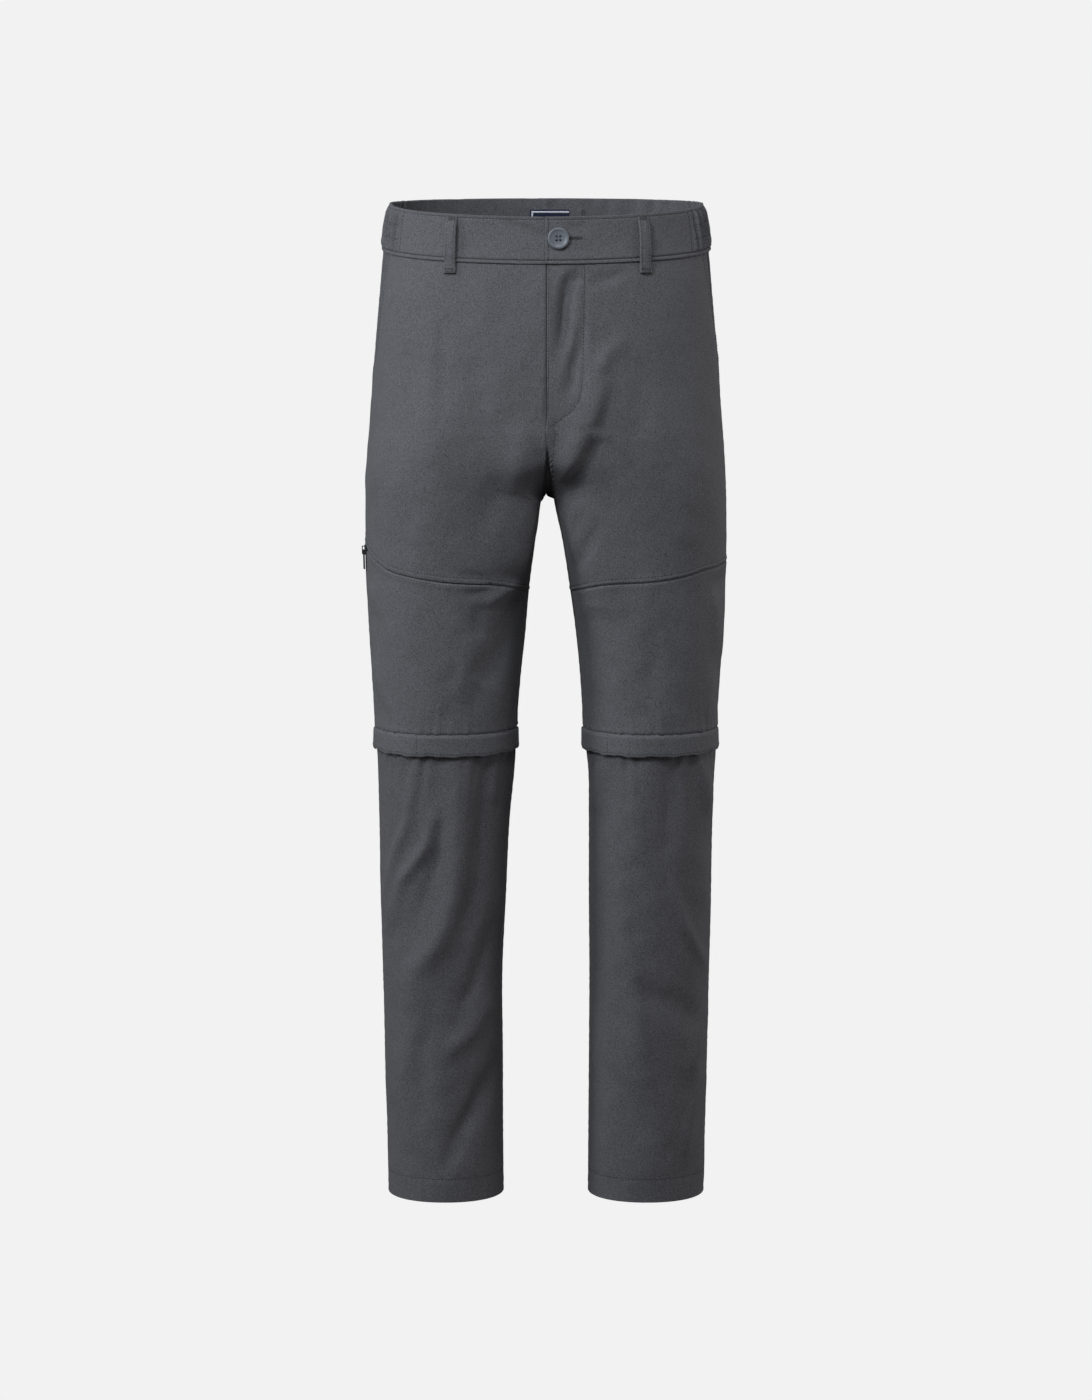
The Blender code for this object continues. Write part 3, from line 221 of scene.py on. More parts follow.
# Ripples along a seam: pitch, height and how far they run into the cloth
SEAM_PUCKER = (0.0125, 0.00026, 0.007)
FLY_PUCKER = (0.0090, 0.00034, 0.006)
FORK_OPENS = -0.238
FORK_DEPTH = 0.016
FORK_GATHER = (0.0062, 0.0030)
KNEE_GATHER = (0.0110, 0.00110, 0.020)
ZIP_GATHER = (0.0185, 0.00190, 0.036)
HEM_PUCKER = (0.0160, 0.00034, 0.012)
BAND_PUCKER = (0.011, 0.00022, 0.006)
BAND_CREASE = (0.026, 0.0008, 0.05)
RIB_PITCH = 0.0088
RIB_HEIGHT = 0.0028
GATHER_EASE = 1.15
BAND_DRAGS = (
    # path, left width, right width, lift
    (((-0.046, 0.003), (-0.021, -0.006), (0.000, -0.015)), 0.004, 0.008, -0.0021),
    (((0.018, -0.002), (0.030, -0.006), (0.048, 0.000)), 0.006, 0.006, -0.0016),
)

# Stitches, each given by its distance from the edge that it follows
SEAM_STITCHES = (0.0022, 0.0062)
SEAT_STITCHES = (0.0022, 0.0066)
MOUTH_STITCHES = (0.0022, 0.0068)
FORK_STITCH = 0.0086
ZIP_STITCH = 0.0020
BAND_STITCHES = (("top", 0.0027), ("bottom", 0.0036))
BAND_END_STITCH = 0.0030
LAP_STITCH = 0.0028
ELASTIC_STITCH = 0.0175
STITCH_SINK = 0.00012
COIL_TURN = 0.0007
COIL_PITCH = 0.0014

# Steps of the meshes
EDGES = ("top", "bottom", "inner", "outer")
SIDE_EDGES = ("inner", "outer")
FINE_STEPS = (0.0, 0.0007, 0.0015, 0.0025, 0.0037, 0.0052, 0.0072)
DRAWN_STEP = 0.003
KNEE_COLUMNS = 84
FLAP_JOIN_COLUMN = {"right": 52, "left": 24}
CLOTH_WANDER = ((0.075, 0.00075), (0.034, 0.00032), (0.015, 0.00010))

# Places of the small parts
FLY_STITCH = (
    (0.0412, -0.044), (0.0405, -0.100), (0.0392, -0.160), (0.0384, -0.178), (0.0360, -0.187),
    (0.0300, -0.196), (0.0220, -0.203), (0.0147, -0.209), (0.0015, -0.217),
)
FLY_GROOVE = (0.0024, 0.0018, -0.0014)
FLY_SLIT = 0.0015
FLY_END = -0.220
BELT_LOOPS = (
    # CAD node, side, half, distance round the waist from the middle, lean across from top to bottom
    ("belt_loop_front_right", "right", "front", 0.1020, 0.0026),
    ("belt_loop_front_left", "left", "front", 0.1055, 0.0030),
    ("belt_loop_back_right", "right", "back", 0.1070, 0.0),
    ("belt_loop_back_left", "left", "back", 0.1070, 0.0),
    ("belt_loop_back_centre", "left", "back", 0.0, 0.0),
)
LOOP_WIDTH = 0.0115
LOOP_CLOTH = 0.0014
LOOP_STAND_OFF = 0.003625
LOOP_BELOW_TOP = 0.0030
LOOP_SHAPE = (
    # share of the way down, share of the stand-off
    (0.0, 0.0), (0.07, 0.10), (0.18, 0.62), (0.36, 0.95), (0.58, 1.0), (0.74, 0.72), (0.84, 0.30),
    (0.90, 0.0), (1.0, 0.0),
)
LOOP_BELOW_SEAM = 0.0125
BUTTON_X = 0.0130
BUTTON_Z = -0.0160
BUTTON_HOLE_X = (0.0245, 0.0375)
BUTTON_HOLE_APART = 0.0040
BUTTON_HOLE = 0.0013
BUTTON_RADIUS = 0.0116
BUTTON_HEIGHT = 0.0034
BUTTON_PROFILE = (
    # share of the radius, share of the height
    (0.0, 0.0), (0.84, 0.0), (0.95, 0.12), (1.0, 0.38), (1.0, 0.68), (0.975, 0.90), (0.92, 1.0), (0.84, 1.0),
    (0.77, 0.94), (0.70, 0.78), (0.58, 0.70), (0.30, 0.64), (0.0, 0.62),
)
LABEL_REACH = {"right": 0.018, "left": 0.040}
LABEL_HEIGHT = 0.030
LABEL_TOP = 0.0100
LABEL_FACE = 0.76
LABEL_BORDER = (2, 4)
LABEL_CLOTH = 0.0007

# Light and view
CAMERA_PLACE = (0.0, -5.5, 0.17)
CAMERA_AIM = (0.0, 0.0, -0.525)
CAMERA_LENS_MM = 129.59
FLOOR_LEVEL = -1.26
DOME_RADIUS = 24.0
COOL = (0.96, 0.978, 1.0)
WARM = (1.0, 0.94, 0.92)
AIR_STRENGTH = 0.125
LIGHTS = (
    # name, place, what it points at, size, power in watts, colour
    ("side_softbox", (-3.4, -0.8, 0.6), (0.0, 0.0, -0.60), (0.6, 1.0), 47.0, COOL),
    ("key_softbox", (-2.2, -2.2, 2.0), (0.0, 0.0, -0.30), (0.5, 0.5), 37.0, COOL),
    ("front_softbox", (-1.5, -2.5, 1.6), (0.0, 0.0, -0.25), (0.6, 0.6), 30.0, COOL),
    ("top_softbox", (0.2, -2.4, 3.0), (0.0, 0.0, -0.20), (0.8, 0.8), 42.0, COOL),
    ("fill_softbox", (3.2, -0.9, 0.4), (0.0, 0.0, -0.50), (0.8, 1.8), 21.0, WARM),
    ("rim_softbox", (2.6, 1.4, 0.2), (0.0, 0.0, -0.60), (0.8, 1.8), 13.0, WARM),
)


def linear(code):
    """An sRGB hex colour as linear red, green and blue."""
    values = [int(code[i : i + 2], 16) / 255 for i in (1, 3, 5)]
    return tuple(v / 12.92 if v <= 0.04045 else ((v + 0.055) / 1.055) ** 2.4 for v in values)


def colour(label, code, text):
    return FloatVectorProperty(
        name=label, description=text, default=linear(code), subtype="COLOR", min=0.0, max=1.0
    )


def length(label, default, text):
    return FloatProperty(
        name=label, description=text, default=default, unit="LENGTH", subtype="DISTANCE", min=0.0
    )


class TrouserSizes(bpy.types.PropertyGroup):
    cloth: length("Cloth", 0.0016, "Thickness of the cloth with its lining layers")
    band_cloth: length("Waistband", 0.0024, "Thickness of the folded waistband")
    flap_cloth: length("Flap", 0.0018, "Thickness of the doubled knee flap")
    step: length("Mesh step", 0.0031, "Distance between the cloth's points, away from its seams")
    stitch: length("Stitch", 0.0026, "Length of one stitch that shows")
    stitch_pitch: length("Stitch pitch", 0.0036, "From one stitch to the next")
    thread: length("Thread", 0.00080, "Width of the sewing thread")
    fold_lift: FloatProperty(name="Fold lift", description="Height of all the folds", default=1.5, min=0.0)


class TrouserColours(bpy.types.PropertyGroup):
    cloth: colour("Cloth", "#5C5E63", "Woven cloth above the knee")
    # A darker copy of the cloth above the knee: painted shade on the lower legs, which get less light
    shaded_lower_cloth: colour("Lower cloth", "#57585D", "Woven cloth of the zip-off legs")
    thread: colour("Thread", "#222326", "Sewing thread")
    tape: colour("Tape", "#34363A", "Zip tape")
    coil: colour("Coil", "#292A2D", "Zip coil")
    zip_paint: colour("Slider", "#3A3C40", "Paint on the zip slider and its pull")
    button: colour("Button", "#646B73", "Moulded button")
    label: colour("Label", "#1F2740", "Woven label")
    label_edge: colour("Label edge", "#D8DCE6", "Pale border of the label")
    backdrop: colour("Backdrop", "#F2F2F2", "Plain backdrop and floor")


def smooth_curve(heights, values):
    """A function that passes smoothly through the given values."""
    order = np.argsort(heights)
    xs = np.asarray(heights, float)[order]
    ys = np.asarray(values, float)[order]
    slopes = np.gradient(ys, xs)

    def curve(x):
        x = np.clip(np.asarray(x, float), xs[0], xs[-1])
        i = np.clip(np.searchsorted(xs, x) - 1, 0, len(xs) - 2)
        span = xs[i + 1] - xs[i]
        t = (x - xs[i]) / span
        blend = t * t * (3 - 2 * t)
        lead = t * (1 - t) ** 2 * span * slopes[i]
        trail = t * t * (t - 1) * span * slopes[i + 1]
        return ys[i] * (1 - blend) + ys[i + 1] * blend + lead + trail

    return curve


def curves_of(columns, rows):
    """One smooth curve for each named column of a table, against its first column."""
    first, *others = zip(*rows)
    return {name: smooth_curve(first, values) for name, values in zip(columns[1:], others)}


UPPER = curves_of(UPPER_COLUMNS, UPPER_SECTIONS)
LOWER = curves_of(LOWER_COLUMNS, LOWER_SECTIONS)
THIGH_SEAM_AT = curves_of(THIGH_SEAM_COLUMNS, THIGH_SEAM)


def smoothstep(low, high, x):
    t = np.clip((x - low) / (high - low), 0.0, 1.0)
    return t * t * (3 - 2 * t)


def bump(x, width):
    return np.exp(-((x / width) ** 2))


def signed_power(value, power):
    return np.sign(value) * np.abs(value) ** power


def arc_section(side, depth_end, seam_y, centre, half_width, start, square, share):
    """Points of one half section: share runs from the inner edge, 0, round to the side seam, 1."""
    turn = start + share * (math.pi - start)
    across = centre - half_width * signed_power(np.cos(turn), 2 / square)
    along = seam_y + (depth_end - seam_y) * signed_power(np.sin(turn), 2 / square)
    return SIGN[side] * (across + SEAM / 2), along


def upper_face(side, half, share, z):
    """The body surface above the knee. Above the crotch both sides meet on the middle plane."""
    outer = UPPER["outer"](z)
    inner_square = UPPER["front_inner_square" if half == "front" else "square"](z)
    top = FORK_TOP[half]
    fork = np.sin(math.pi / 2 * np.clip((top - z) / (top - CROTCH), 0.0, 1.0) ** FORK_PACE[half])
    drop = np.clip(CROTCH - z, 0.0, None)
    inner = UPPER["inner_" + side](z)
    parted = inner * smoothstep(CROTCH + PART_ABOVE, CROTCH - PART_BELOW, z)
    arched = inner * np.sqrt(1 - (1 - np.clip(drop / CROTCH_ARCH, 0.0, 1.0)) ** 2)
    half_width = (outer - parted) / (1 + fork)
    centre = outer - half_width
    reach = np.clip((centre - parted) / half_width, 0.0, 1.0)
    eased = smoothstep(CROTCH, CROTCH + SQUARE_EASE, z)
    start, square = 0.0, inner_square
    for _ in range(SQUARE_ROUNDS):
        start = np.where(z >= CROTCH, np.arccos(reach ** (square / 2)), 0.0)
        place = start * (1 - eased) / (math.pi - start * eased)
        square = inner_square + (UPPER["square"](z) - inner_square) * smoothstep(0.0, SQUARE_REACH, place)
    place = (start + share * (math.pi - start) - start * eased) / (math.pi - start * eased)
    square = inner_square + (UPPER["square"](z) - inner_square) * smoothstep(0.0, SQUARE_REACH, place)
    x, y = arc_section(side, UPPER[half](z), UPPER["seam_y"](z), centre, half_width, start, square, share)
    near_inseam = smoothstep(ARCH_REACH, 0.0, np.abs(share))
    return np.stack([x + SIGN[side] * (arched - parted) * near_inseam, y, z + 0 * x], axis=-1)


def lower_face(side, half, share, z):
    """The lower leg's surface."""
    outer, inner = LOWER["outer"](z), LOWER["inner_" + side](z)
    half_width = (outer - inner) / 2
    centre, square = outer - half_width, LOWER["square"](z)
    x, y = arc_section(side, LOWER[half](z), LOWER["seam_y"](z), centre, half_width, 0.0, square, share)
    return np.stack([x, y, z + 0 * x], axis=-1)


def normals(face, side, half, share, z):
    """Outward unit normals of the surface, from two short steps along it."""
    above = np.where((z < CROTCH) & (z + PROBE > CROTCH), z, z + PROBE)
    under = np.where((z >= CROTCH) & (z - PROBE < CROTCH), z, z - PROBE)
    step = 0.002
    round_it = face(side, half, share + step, z) - face(side, half, share - step, z)
    up = face(side, half, share, above) - face(side, half, share, under)
    found = np.cross(round_it, up) * SIGN[side] * OUTWARD[half]
    in_plane = np.stack([0 * up[..., 0], -up[..., 2], up[..., 1]], axis=-1) * OUTWARD[half]
    on_middle = (share <= 0.0) & (z >= CROTCH) & (face is upper_face)
    found = np.where(on_middle[..., None], in_plane, found)
    at_crotch = on_middle & (z < CROTCH + PROBE)
    found = np.where(at_crotch[..., None], np.array([0.0, 0.0, -1.0]), found)
    return found / np.linalg.norm(found, axis=-1, keepdims=True)


def path_lift(points, path, left_width, right_width, lift):
    """How far one fold lifts each point: a ridge or trough along its path that dies away at both ends."""
    path = np.asarray(path)
    lengths = np.linalg.norm(np.diff(path, axis=0), axis=1)
    starts = np.concatenate([[0.0], np.cumsum(lengths)])
    nearest = np.full(points.shape[:-1], np.inf)
    along = np.zeros(points.shape[:-1])
    to_left = np.zeros(points.shape[:-1], bool)
    for begin, end, size, start in zip(path, path[1:], lengths, starts):
        way = (end - begin) / size
        away = points - begin
        t = np.clip(away @ way / size, 0.0, 1.0)
        distance = np.linalg.norm(away - (t * size)[..., None] * way, axis=-1)
        closer = distance < nearest
        nearest = np.where(closer, distance, nearest)
        along = np.where(closer, (start + t * size) / starts[-1], along)
        to_left = np.where(closer, way[0] * away[..., 1] - way[1] * away[..., 0] > 0, to_left)
    fade = np.sqrt(np.sin(math.pi * np.clip(along, 0.015, 0.985)))
    return lift * fade * bump(nearest, np.where(to_left, left_width, right_width))


def folds_at(folds, half, points):
    """How far all the folds of one half lift each point."""
    total = np.zeros(points.shape[:-1])
    flat = points[..., ::2]
    for place, *widths_and_lift, path in folds:
        if place == half:
            total += path_lift(flat, np.array(path) / 1000, *np.array(widths_and_lift) / 1000)
    return total


def wander(points):
    """Slow unevenness of cloth that hangs free, the same on every run and continuous across seams."""
    random = np.random.default_rng(11)
    total = np.zeros(points.shape[:-1])
    for wave, height in CLOTH_WANDER:
        for _ in range(7):
            way = random.normal(size=3) * np.array([1.0, 0.8, 0.55])
            way = way / np.linalg.norm(way) * 2 * math.pi / wave * random.uniform(0.7, 1.3)
            total += height / math.sqrt(7) * np.sin(points @ way + random.uniform(0, 2 * math.pi))
    return total


def ripple(along, away, pitch, height, reach, lean=0.0):
    """Uneven puckers that start at a seam and die away from it."""
    phase = 2 * math.pi * (along + lean * away) / pitch
    uneven = 1.3 * np.sin(0.37 * phase + 0.8) + 0.7 * np.sin(0.171 * phase + 2.1)
    strength = 0.65 + 0.35 * np.sin(0.23 * phase + 1.7)
    return height * strength * np.sin(phase + uneven) * np.exp(-away / reach)


def along_rows(points):
    """Distance travelled along each row from its first point."""
    steps = np.linalg.norm(np.diff(points, axis=1), axis=-1)
    return np.concatenate([np.zeros((len(points), 1)), np.cumsum(steps, axis=1)], axis=1)


def along_columns(points):
    return along_rows(points.swapaxes(0, 1)).T


def fork_recess(x, z):
    """How far back the fronts lie in the dark wedge between the tops of the thighs, gathered on one edge."""
    opened = smoothstep(FORK_OPENS, CROTCH, z)
    middle = 0.0016 + 0.0005 * opened
    half_width = 0.0012 + 0.0042 * opened
    wedge = smoothstep(half_width * 1.25, half_width * 0.75, np.abs(x - middle))
    gathers = np.sin(2 * math.pi * (z - 0.8 * x) / FORK_GATHER[0]) * bump(x - middle - half_width, 0.0024)
    closing = smoothstep(CROTCH - 0.002, CROTCH + 0.003, z)
    return closing * np.sqrt(opened) * (FORK_DEPTH * wedge + FORK_GATHER[1] * gathers)


class Cloth:
    """The grid of points of one piece of cloth, with its distances to each edge and what lifts it."""

    def __init__(self, face, side, half, share, z):
        share, z = np.broadcast_arrays(np.asarray(share, float), np.asarray(z, float))
        self.face, self.side, self.half, self.share, self.z = face, side, half, share, z
        self.base = face(side, half, share, z)
        self.out = normals(face, side, half, share, z)
        across, down = along_rows(self.base), along_columns(self.base)
        self.across, self.down = across, down
        self.to = {
            "inner": across, "outer": across[:, -1:] - across,
            "top": down, "bottom": down[-1:] - down,
        }
        self.lift = np.zeros(share.shape)

    def add_folds(self, scale):
        folds = FOLDS if self.face is upper_face else LOWER_FOLDS
        lift = folds_at(folds, self.half, self.base) * scale + wander(self.base)
        below_fork = smoothstep(CROTCH + 0.045, CROTCH + 0.008, self.z)
        side_fade = smoothstep(1.0, 0.95, self.share)
        inner_fade = 1 - below_fork * (1 - smoothstep(0.03, 0.22, self.share))
        lift = lift * side_fade * inner_fade
        if self.face is upper_face:
            below_band = smoothstep(-0.034, -0.060, self.z)
            lift = lift * below_band * smoothstep(KNEE_SEAM, KNEE_SEAM + 0.026, self.z)
            if self.half == "front":
                near = np.exp(-np.abs(self.base[..., 0]) / 0.010)
                lift = lift + SIGN[self.side] * 0.0006 * near * smoothstep(-0.238, -0.215, self.z)
        else:
            lift = lift * smoothstep(HEM - 0.004, HEM + 0.035, self.z)
        self.lift = self.lift + lift

    def add_seam(self, edge, dip=0.0014, ridge=0.0004, pucker=SEAM_PUCKER, where=1.0, lean=0.0):
        """A sewn edge: the cloth turns in at the seam, stands up over the allowance and puckers a little."""
        away = self.to[edge]
        along = self.across if edge in ("top", "bottom") else self.down
        shape = -dip * bump(away, 0.0010) + ridge * bump(away - 0.0034, 0.0021)
        self.lift = self.lift + where * (shape + ripple(along, away, *pucker, lean))

    def add_groove(self, edge, away, depth=0.00036, width=0.0009, where=1.0):
        """The line that a row of stitches draws into the cloth."""
        self.lift = self.lift - where * depth * bump(self.to[edge] - away, width)

    def points(self, inward=0.0):
        """The grid set inward from the outer face. Neither side's cloth crosses the middle."""
        found = self.base + self.out * (self.lift - inward)[..., None]
        across = SIGN[self.side] * found[..., 0]
        found[..., 0] = SIGN[self.side] * np.maximum(across - SEAM / 2 * bump(across, 0.003), HAIRLINE)
        if self.face is upper_face and self.half == "front":
            found[..., 1] += fork_recess(found[..., 0], found[..., 2])
        return found

    def at(self, row, column, lift=0.0):
        """A point on the outer face, and its normal, between the grid's points."""
        rows, columns = self.share.shape
        i = int(min(max(row, 0), rows - 1.001))
        j = int(min(max(column, 0), columns - 1.001))
        s, t = row - i, column - j
        above = ((1 - s) * (1 - t), i, j), ((1 - s) * t, i, j + 1)
        corners = (*above, (s * (1 - t), i + 1, j), (s * t, i + 1, j + 1))
        outer = self.surface
        point = sum(w * outer[a, b] for w, a, b in corners)
        normal = sum(w * self.out[a, b] for w, a, b in corners)
        return point + normal / np.linalg.norm(normal) * lift, normal / np.linalg.norm(normal)

    @property
    def surface(self):
        """The outer face, worked out once, after everything that lifts it."""
        if not hasattr(self, "_surface"):
            self._surface = self.points()
        return self._surface

    def walls(self, thickness, edges=EDGES):
        """The outer and the inner grid, drawn in by half a seam gap at the named edges."""
        return drawn_in(self.points(), edges), drawn_in(self.points(thickness), edges)

    def edge_line(self, edge, away, start=0.0, stop=1.0):
        """A line on the cloth that keeps its distance from one edge, between two shares of that edge."""
        field = self.to[edge]
        lines = field.T if edge in ("top", "bottom") else field
        count = len(lines)
        found = []
        for i in range(int(start * (count - 1)), int(round(stop * (count - 1))) + 1):
            values = lines[i]
            index = np.arange(len(values))
            order = np.argsort(values)
            spot = float(np.interp(away, values[order], index[order]))
            found.append(self.at(spot, i) if edge in ("top", "bottom") else self.at(i, spot))
        return found

    def drawn_line(self, path):
        """A line on the cloth that follows a path in X and Z."""
        return [self.at(*self.spot(x, z)) for x, z in resample(path, DRAWN_STEP)]

    def spot(self, x, z):
        """Row and column of the point that shows at X and Z from the front."""
        outer = self.surface
        rows, columns = self.share.shape
        row, column = rows / 2, columns / 2
        for _ in range(6):
            j = int(min(max(round(column), 0), columns - 1))
            row = float(np.interp(-z, -outer[:, j, 2], np.arange(rows)))
            i = int(min(max(round(row), 0), rows - 1))
            values = outer[i, :, 0] * SIGN[self.side]
            column = float(np.interp(x * SIGN[self.side], values, np.arange(columns)))
        return row, column


def resample(path, step):
    """Evenly spaced points along a polyline."""
    path = np.array(path, float)
    sizes = np.linalg.norm(np.diff(path, axis=0), axis=1)
    travelled = np.concatenate([[0.0], np.cumsum(sizes)])
    count = max(int(round(travelled[-1] / step)), 1)
    wanted = np.linspace(0, travelled[-1], count + 1)
    return np.stack([np.interp(wanted, travelled, path[:, k]) for k in range(path.shape[1])], axis=1)


def place_in(values, wanted):
    """Where a wanted value lies along rising values, from 0 at the first to 1 at the last."""
    return float(np.interp(wanted, values, np.linspace(0, 1, len(values))))


def spaced(size, step):
    """Distances from 0 to size, close together at both ends where the seams are."""
    fine = np.array(FINE_STEPS)
    middle = np.linspace(fine[-1], size - fine[-1], max(int((size - 2 * fine[-1]) / step), 2) + 1)
    return np.concatenate([fine[:-1], middle, (size - fine[:-1])[::-1]])


def shares_at(face, side, half, z, step, first=0.0, last=1.0):
    """Shares of the way round whose points are evenly spaced at height z, and closer at both ends."""
    share = np.linspace(first, last, 600)
    line = face(side, half, share, np.full(600, z))
    travelled = np.concatenate([[0.0], np.cumsum(np.linalg.norm(np.diff(line, axis=0), axis=1))])
    return np.interp(spaced(travelled[-1], step), travelled, share)


def band_top(half, share):
    return BAND_TOP[half] + (BAND_TOP_SIDE - BAND_TOP[half]) * np.clip(share, 0.0, 1.0) ** 1.5


def band_bottom(half, share):
    return band_top(half, share) - BAND_HEIGHT


def share_at(half, distance, z=0.0):
    """Share of the way round at a distance from the middle, or if negative from the side, at one height."""
    share = np.linspace(0.0, 1.0, 2001)
    steps = np.diff(upper_face("left", half, share, z + 0 * share), axis=0)
    travelled = np.concatenate([[0.0], np.cumsum(np.linalg.norm(steps, axis=1))])
    wanted = np.where(np.asarray(distance) < 0.0, distance + travelled[-1], distance)
    return np.interp(wanted, travelled, share)


def elastic_edge(half):
    """Share of the way round where the gathered side of the waistband starts."""
    return float(share_at(half, -ELASTIC_REACH[half]))


def pocket_edge(share, z):
    """The front stops short of the side seam above the slanted pocket mouth's lower end."""
    mouth_bottom = band_bottom("front", 1.0) - POCKET_DEPTH
    return share * (1 - POCKET_TOP_SHARE * np.clip((z - mouth_bottom) / POCKET_DEPTH, 0.0, 1.0))


def zip_groove(side, share):
    """Half the width of the groove that the thigh zip lies in. Only the right leg has one."""
    if side == "left":
        return 0 * share
    return ZIP_GROOVE / 2 * smoothstep(ZIP_INNER_END - 0.02, ZIP_INNER_END + 0.02, share)


def warped(levels, top, bottom, reach):
    """Rows of heights that start on the top edge's line and end on the bottom edge's line."""
    levels = np.array(levels)[:, None]
    to_top = smoothstep(levels[0, 0] - reach, levels[0, 0], levels)
    to_bottom = smoothstep(levels[-1, 0] + reach, levels[-1, 0], levels)
    return levels + to_top * (top - levels[0, 0]) + to_bottom * (bottom - levels[-1, 0])


def levels_between(top, bottom, step):
    """Heights from top to bottom, closer at both ends and round the crotch."""
    levels = top - spaced(top - bottom, step)
    if top > CROTCH > bottom:
        near = CROTCH + np.array([0.003, 0.0012, 0.0, -0.0004, -0.0010, -0.002, -0.0034, -0.0052, -0.0074])
        near = np.concatenate([np.arange(FORK_OPENS, CROTCH + 0.004, -0.0013), near])
        kept = levels[(levels > FORK_OPENS + 0.002) | (levels < CROTCH - 0.009)]
        levels = np.sort(np.concatenate([kept, near]))[::-1]
    return levels


def drawn_in(grid, edges):
    """The grid with the named edges drawn in by half a seam gap."""
    grid = grid.copy()
    for name in edges:
        turned = grid if name in ("top", "bottom") else grid.swapaxes(0, 1)
        edge, following = (0, 1) if name in ("top", "inner") else (-1, -2)
        way = turned[following] - turned[edge]
        above_crotch = turned[edge, :, 2:] > CROTCH + 0.004
        on_middle = (np.abs(turned[edge, :, :1]) < SEAM) & above_crotch & (name == "inner")
        way = way / np.linalg.norm(way, axis=-1, keepdims=True)
        turned[edge] += np.where(on_middle, 0.0, SEAM / 2) * way
    return grid


def make_object(name, mesh, material, angle=50):
    """An object of the mesh, shaded smooth except where its faces meet at more than the angle in degrees."""
    thing = bpy.data.objects.new(name, mesh)
    bpy.context.scene.collection.objects.link(thing)
    mesh.materials.append(material)
    mesh.shade_smooth()
    mesh.set_sharp_from_angle(angle=math.radians(angle))
    return thing


def mesh_from(name, work):
    """A mesh with what was built in a bmesh, which is then freed."""
    mesh = bpy.data.meshes.new(name)
    work.to_mesh(mesh)
    work.free()
    return mesh


def wall(name, outer, inner, material, ring=False, thickness=0.0016):
    """A closed sheet between two grids of points, with rounded edges and a metric UV map for the weave."""
    rows, columns = outer.shape[:2]
    count = rows * columns
    uv_u, uv_v = along_rows(outer), along_columns(outer)
    uv_u = uv_u - uv_u[:, columns // 2 : columns // 2 + 1]
    points = [outer.reshape(-1, 3), inner.reshape(-1, 3)]
    spots = [np.stack([uv_u, uv_v], axis=-1).reshape(-1, 2)] * 2
    grid = np.arange(count).reshape(rows, columns)
    if ring:
        grid = np.concatenate([grid, grid[:, :1]], axis=1)
    a, b, c, d = grid[:-1, :-1], grid[:-1, 1:], grid[1:, 1:], grid[1:, :-1]
    faces = [np.stack([a, b, c, d], axis=-1).reshape(-1, 4)]
    faces.append(np.stack([d, c, b, a], axis=-1).reshape(-1, 4) + count)
    rims = [(grid[0], grid[1]), (grid[-1], grid[-2])]
    if not ring:
        rims += [(grid[:, 0], grid[:, 1]), (grid[:, -1], grid[:, -2])]
    total = 2 * count
    for edge, within in rims:
        out_of = points[0][edge] - points[0][within]
        out_of = out_of / np.linalg.norm(out_of, axis=1, keepdims=True)
        reach = np.linalg.norm(points[0][edge] - points[1][edge], axis=1, keepdims=True) * 0.4
        points.append((points[0][edge] + points[1][edge]) / 2 + out_of * np.minimum(reach, thickness * 0.4))
        spots.append(spots[0][edge])
        middle = np.arange(total, total + len(edge))
        total += len(edge)
        for first, second in ((edge, middle), (middle, edge + count)):
            faces.append(np.stack([first[:-1], first[1:], second[1:], second[:-1]], axis=-1))
    faces = np.concatenate(faces)
    points = np.concatenate(points)
    spots = np.concatenate(spots)
    mesh = bpy.data.meshes.new(name)
    mesh.from_pydata(points.tolist(), [], faces.tolist())
    work = bmesh.new()
    work.from_mesh(mesh)
    bmesh.ops.recalc_face_normals(work, faces=work.faces)
    work.to_mesh(mesh)
    work.free()
    layer = mesh.uv_layers.new(name="cloth")
    corners = np.empty(len(mesh.loops), int)
    mesh.loops.foreach_get("vertex_index", corners)
    layer.data.foreach_set("uv", spots[corners].ravel())
    return make_object(name, mesh, material)


def cut_of(points, ease):
    """The rectangle that a piece is cut from, as width and length, and the area of the piece itself."""
    width = round(float(along_rows(points)[:, -1].max()) * ease, 4)
    height = round(float(along_columns(points)[-1].max()), 4)
    across = points[:-1, 1:] - points[:-1, :-1]
    down = points[1:, :-1] - points[:-1, :-1]
    area = float(np.linalg.norm(np.cross(across, down), axis=-1).sum()) * ease
    return (width, height), min(area, width * height)


def sew_in(piece, node, points, ease=1.0, ring=None):
    """The piece replaces its CAD node and rides with the trousers; the size and area of its cut are worked
    out but not passed on.
    """
    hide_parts(node)
    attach(piece, "trousers")
    flat, area = cut_of(points if ring is None else ring, ease)


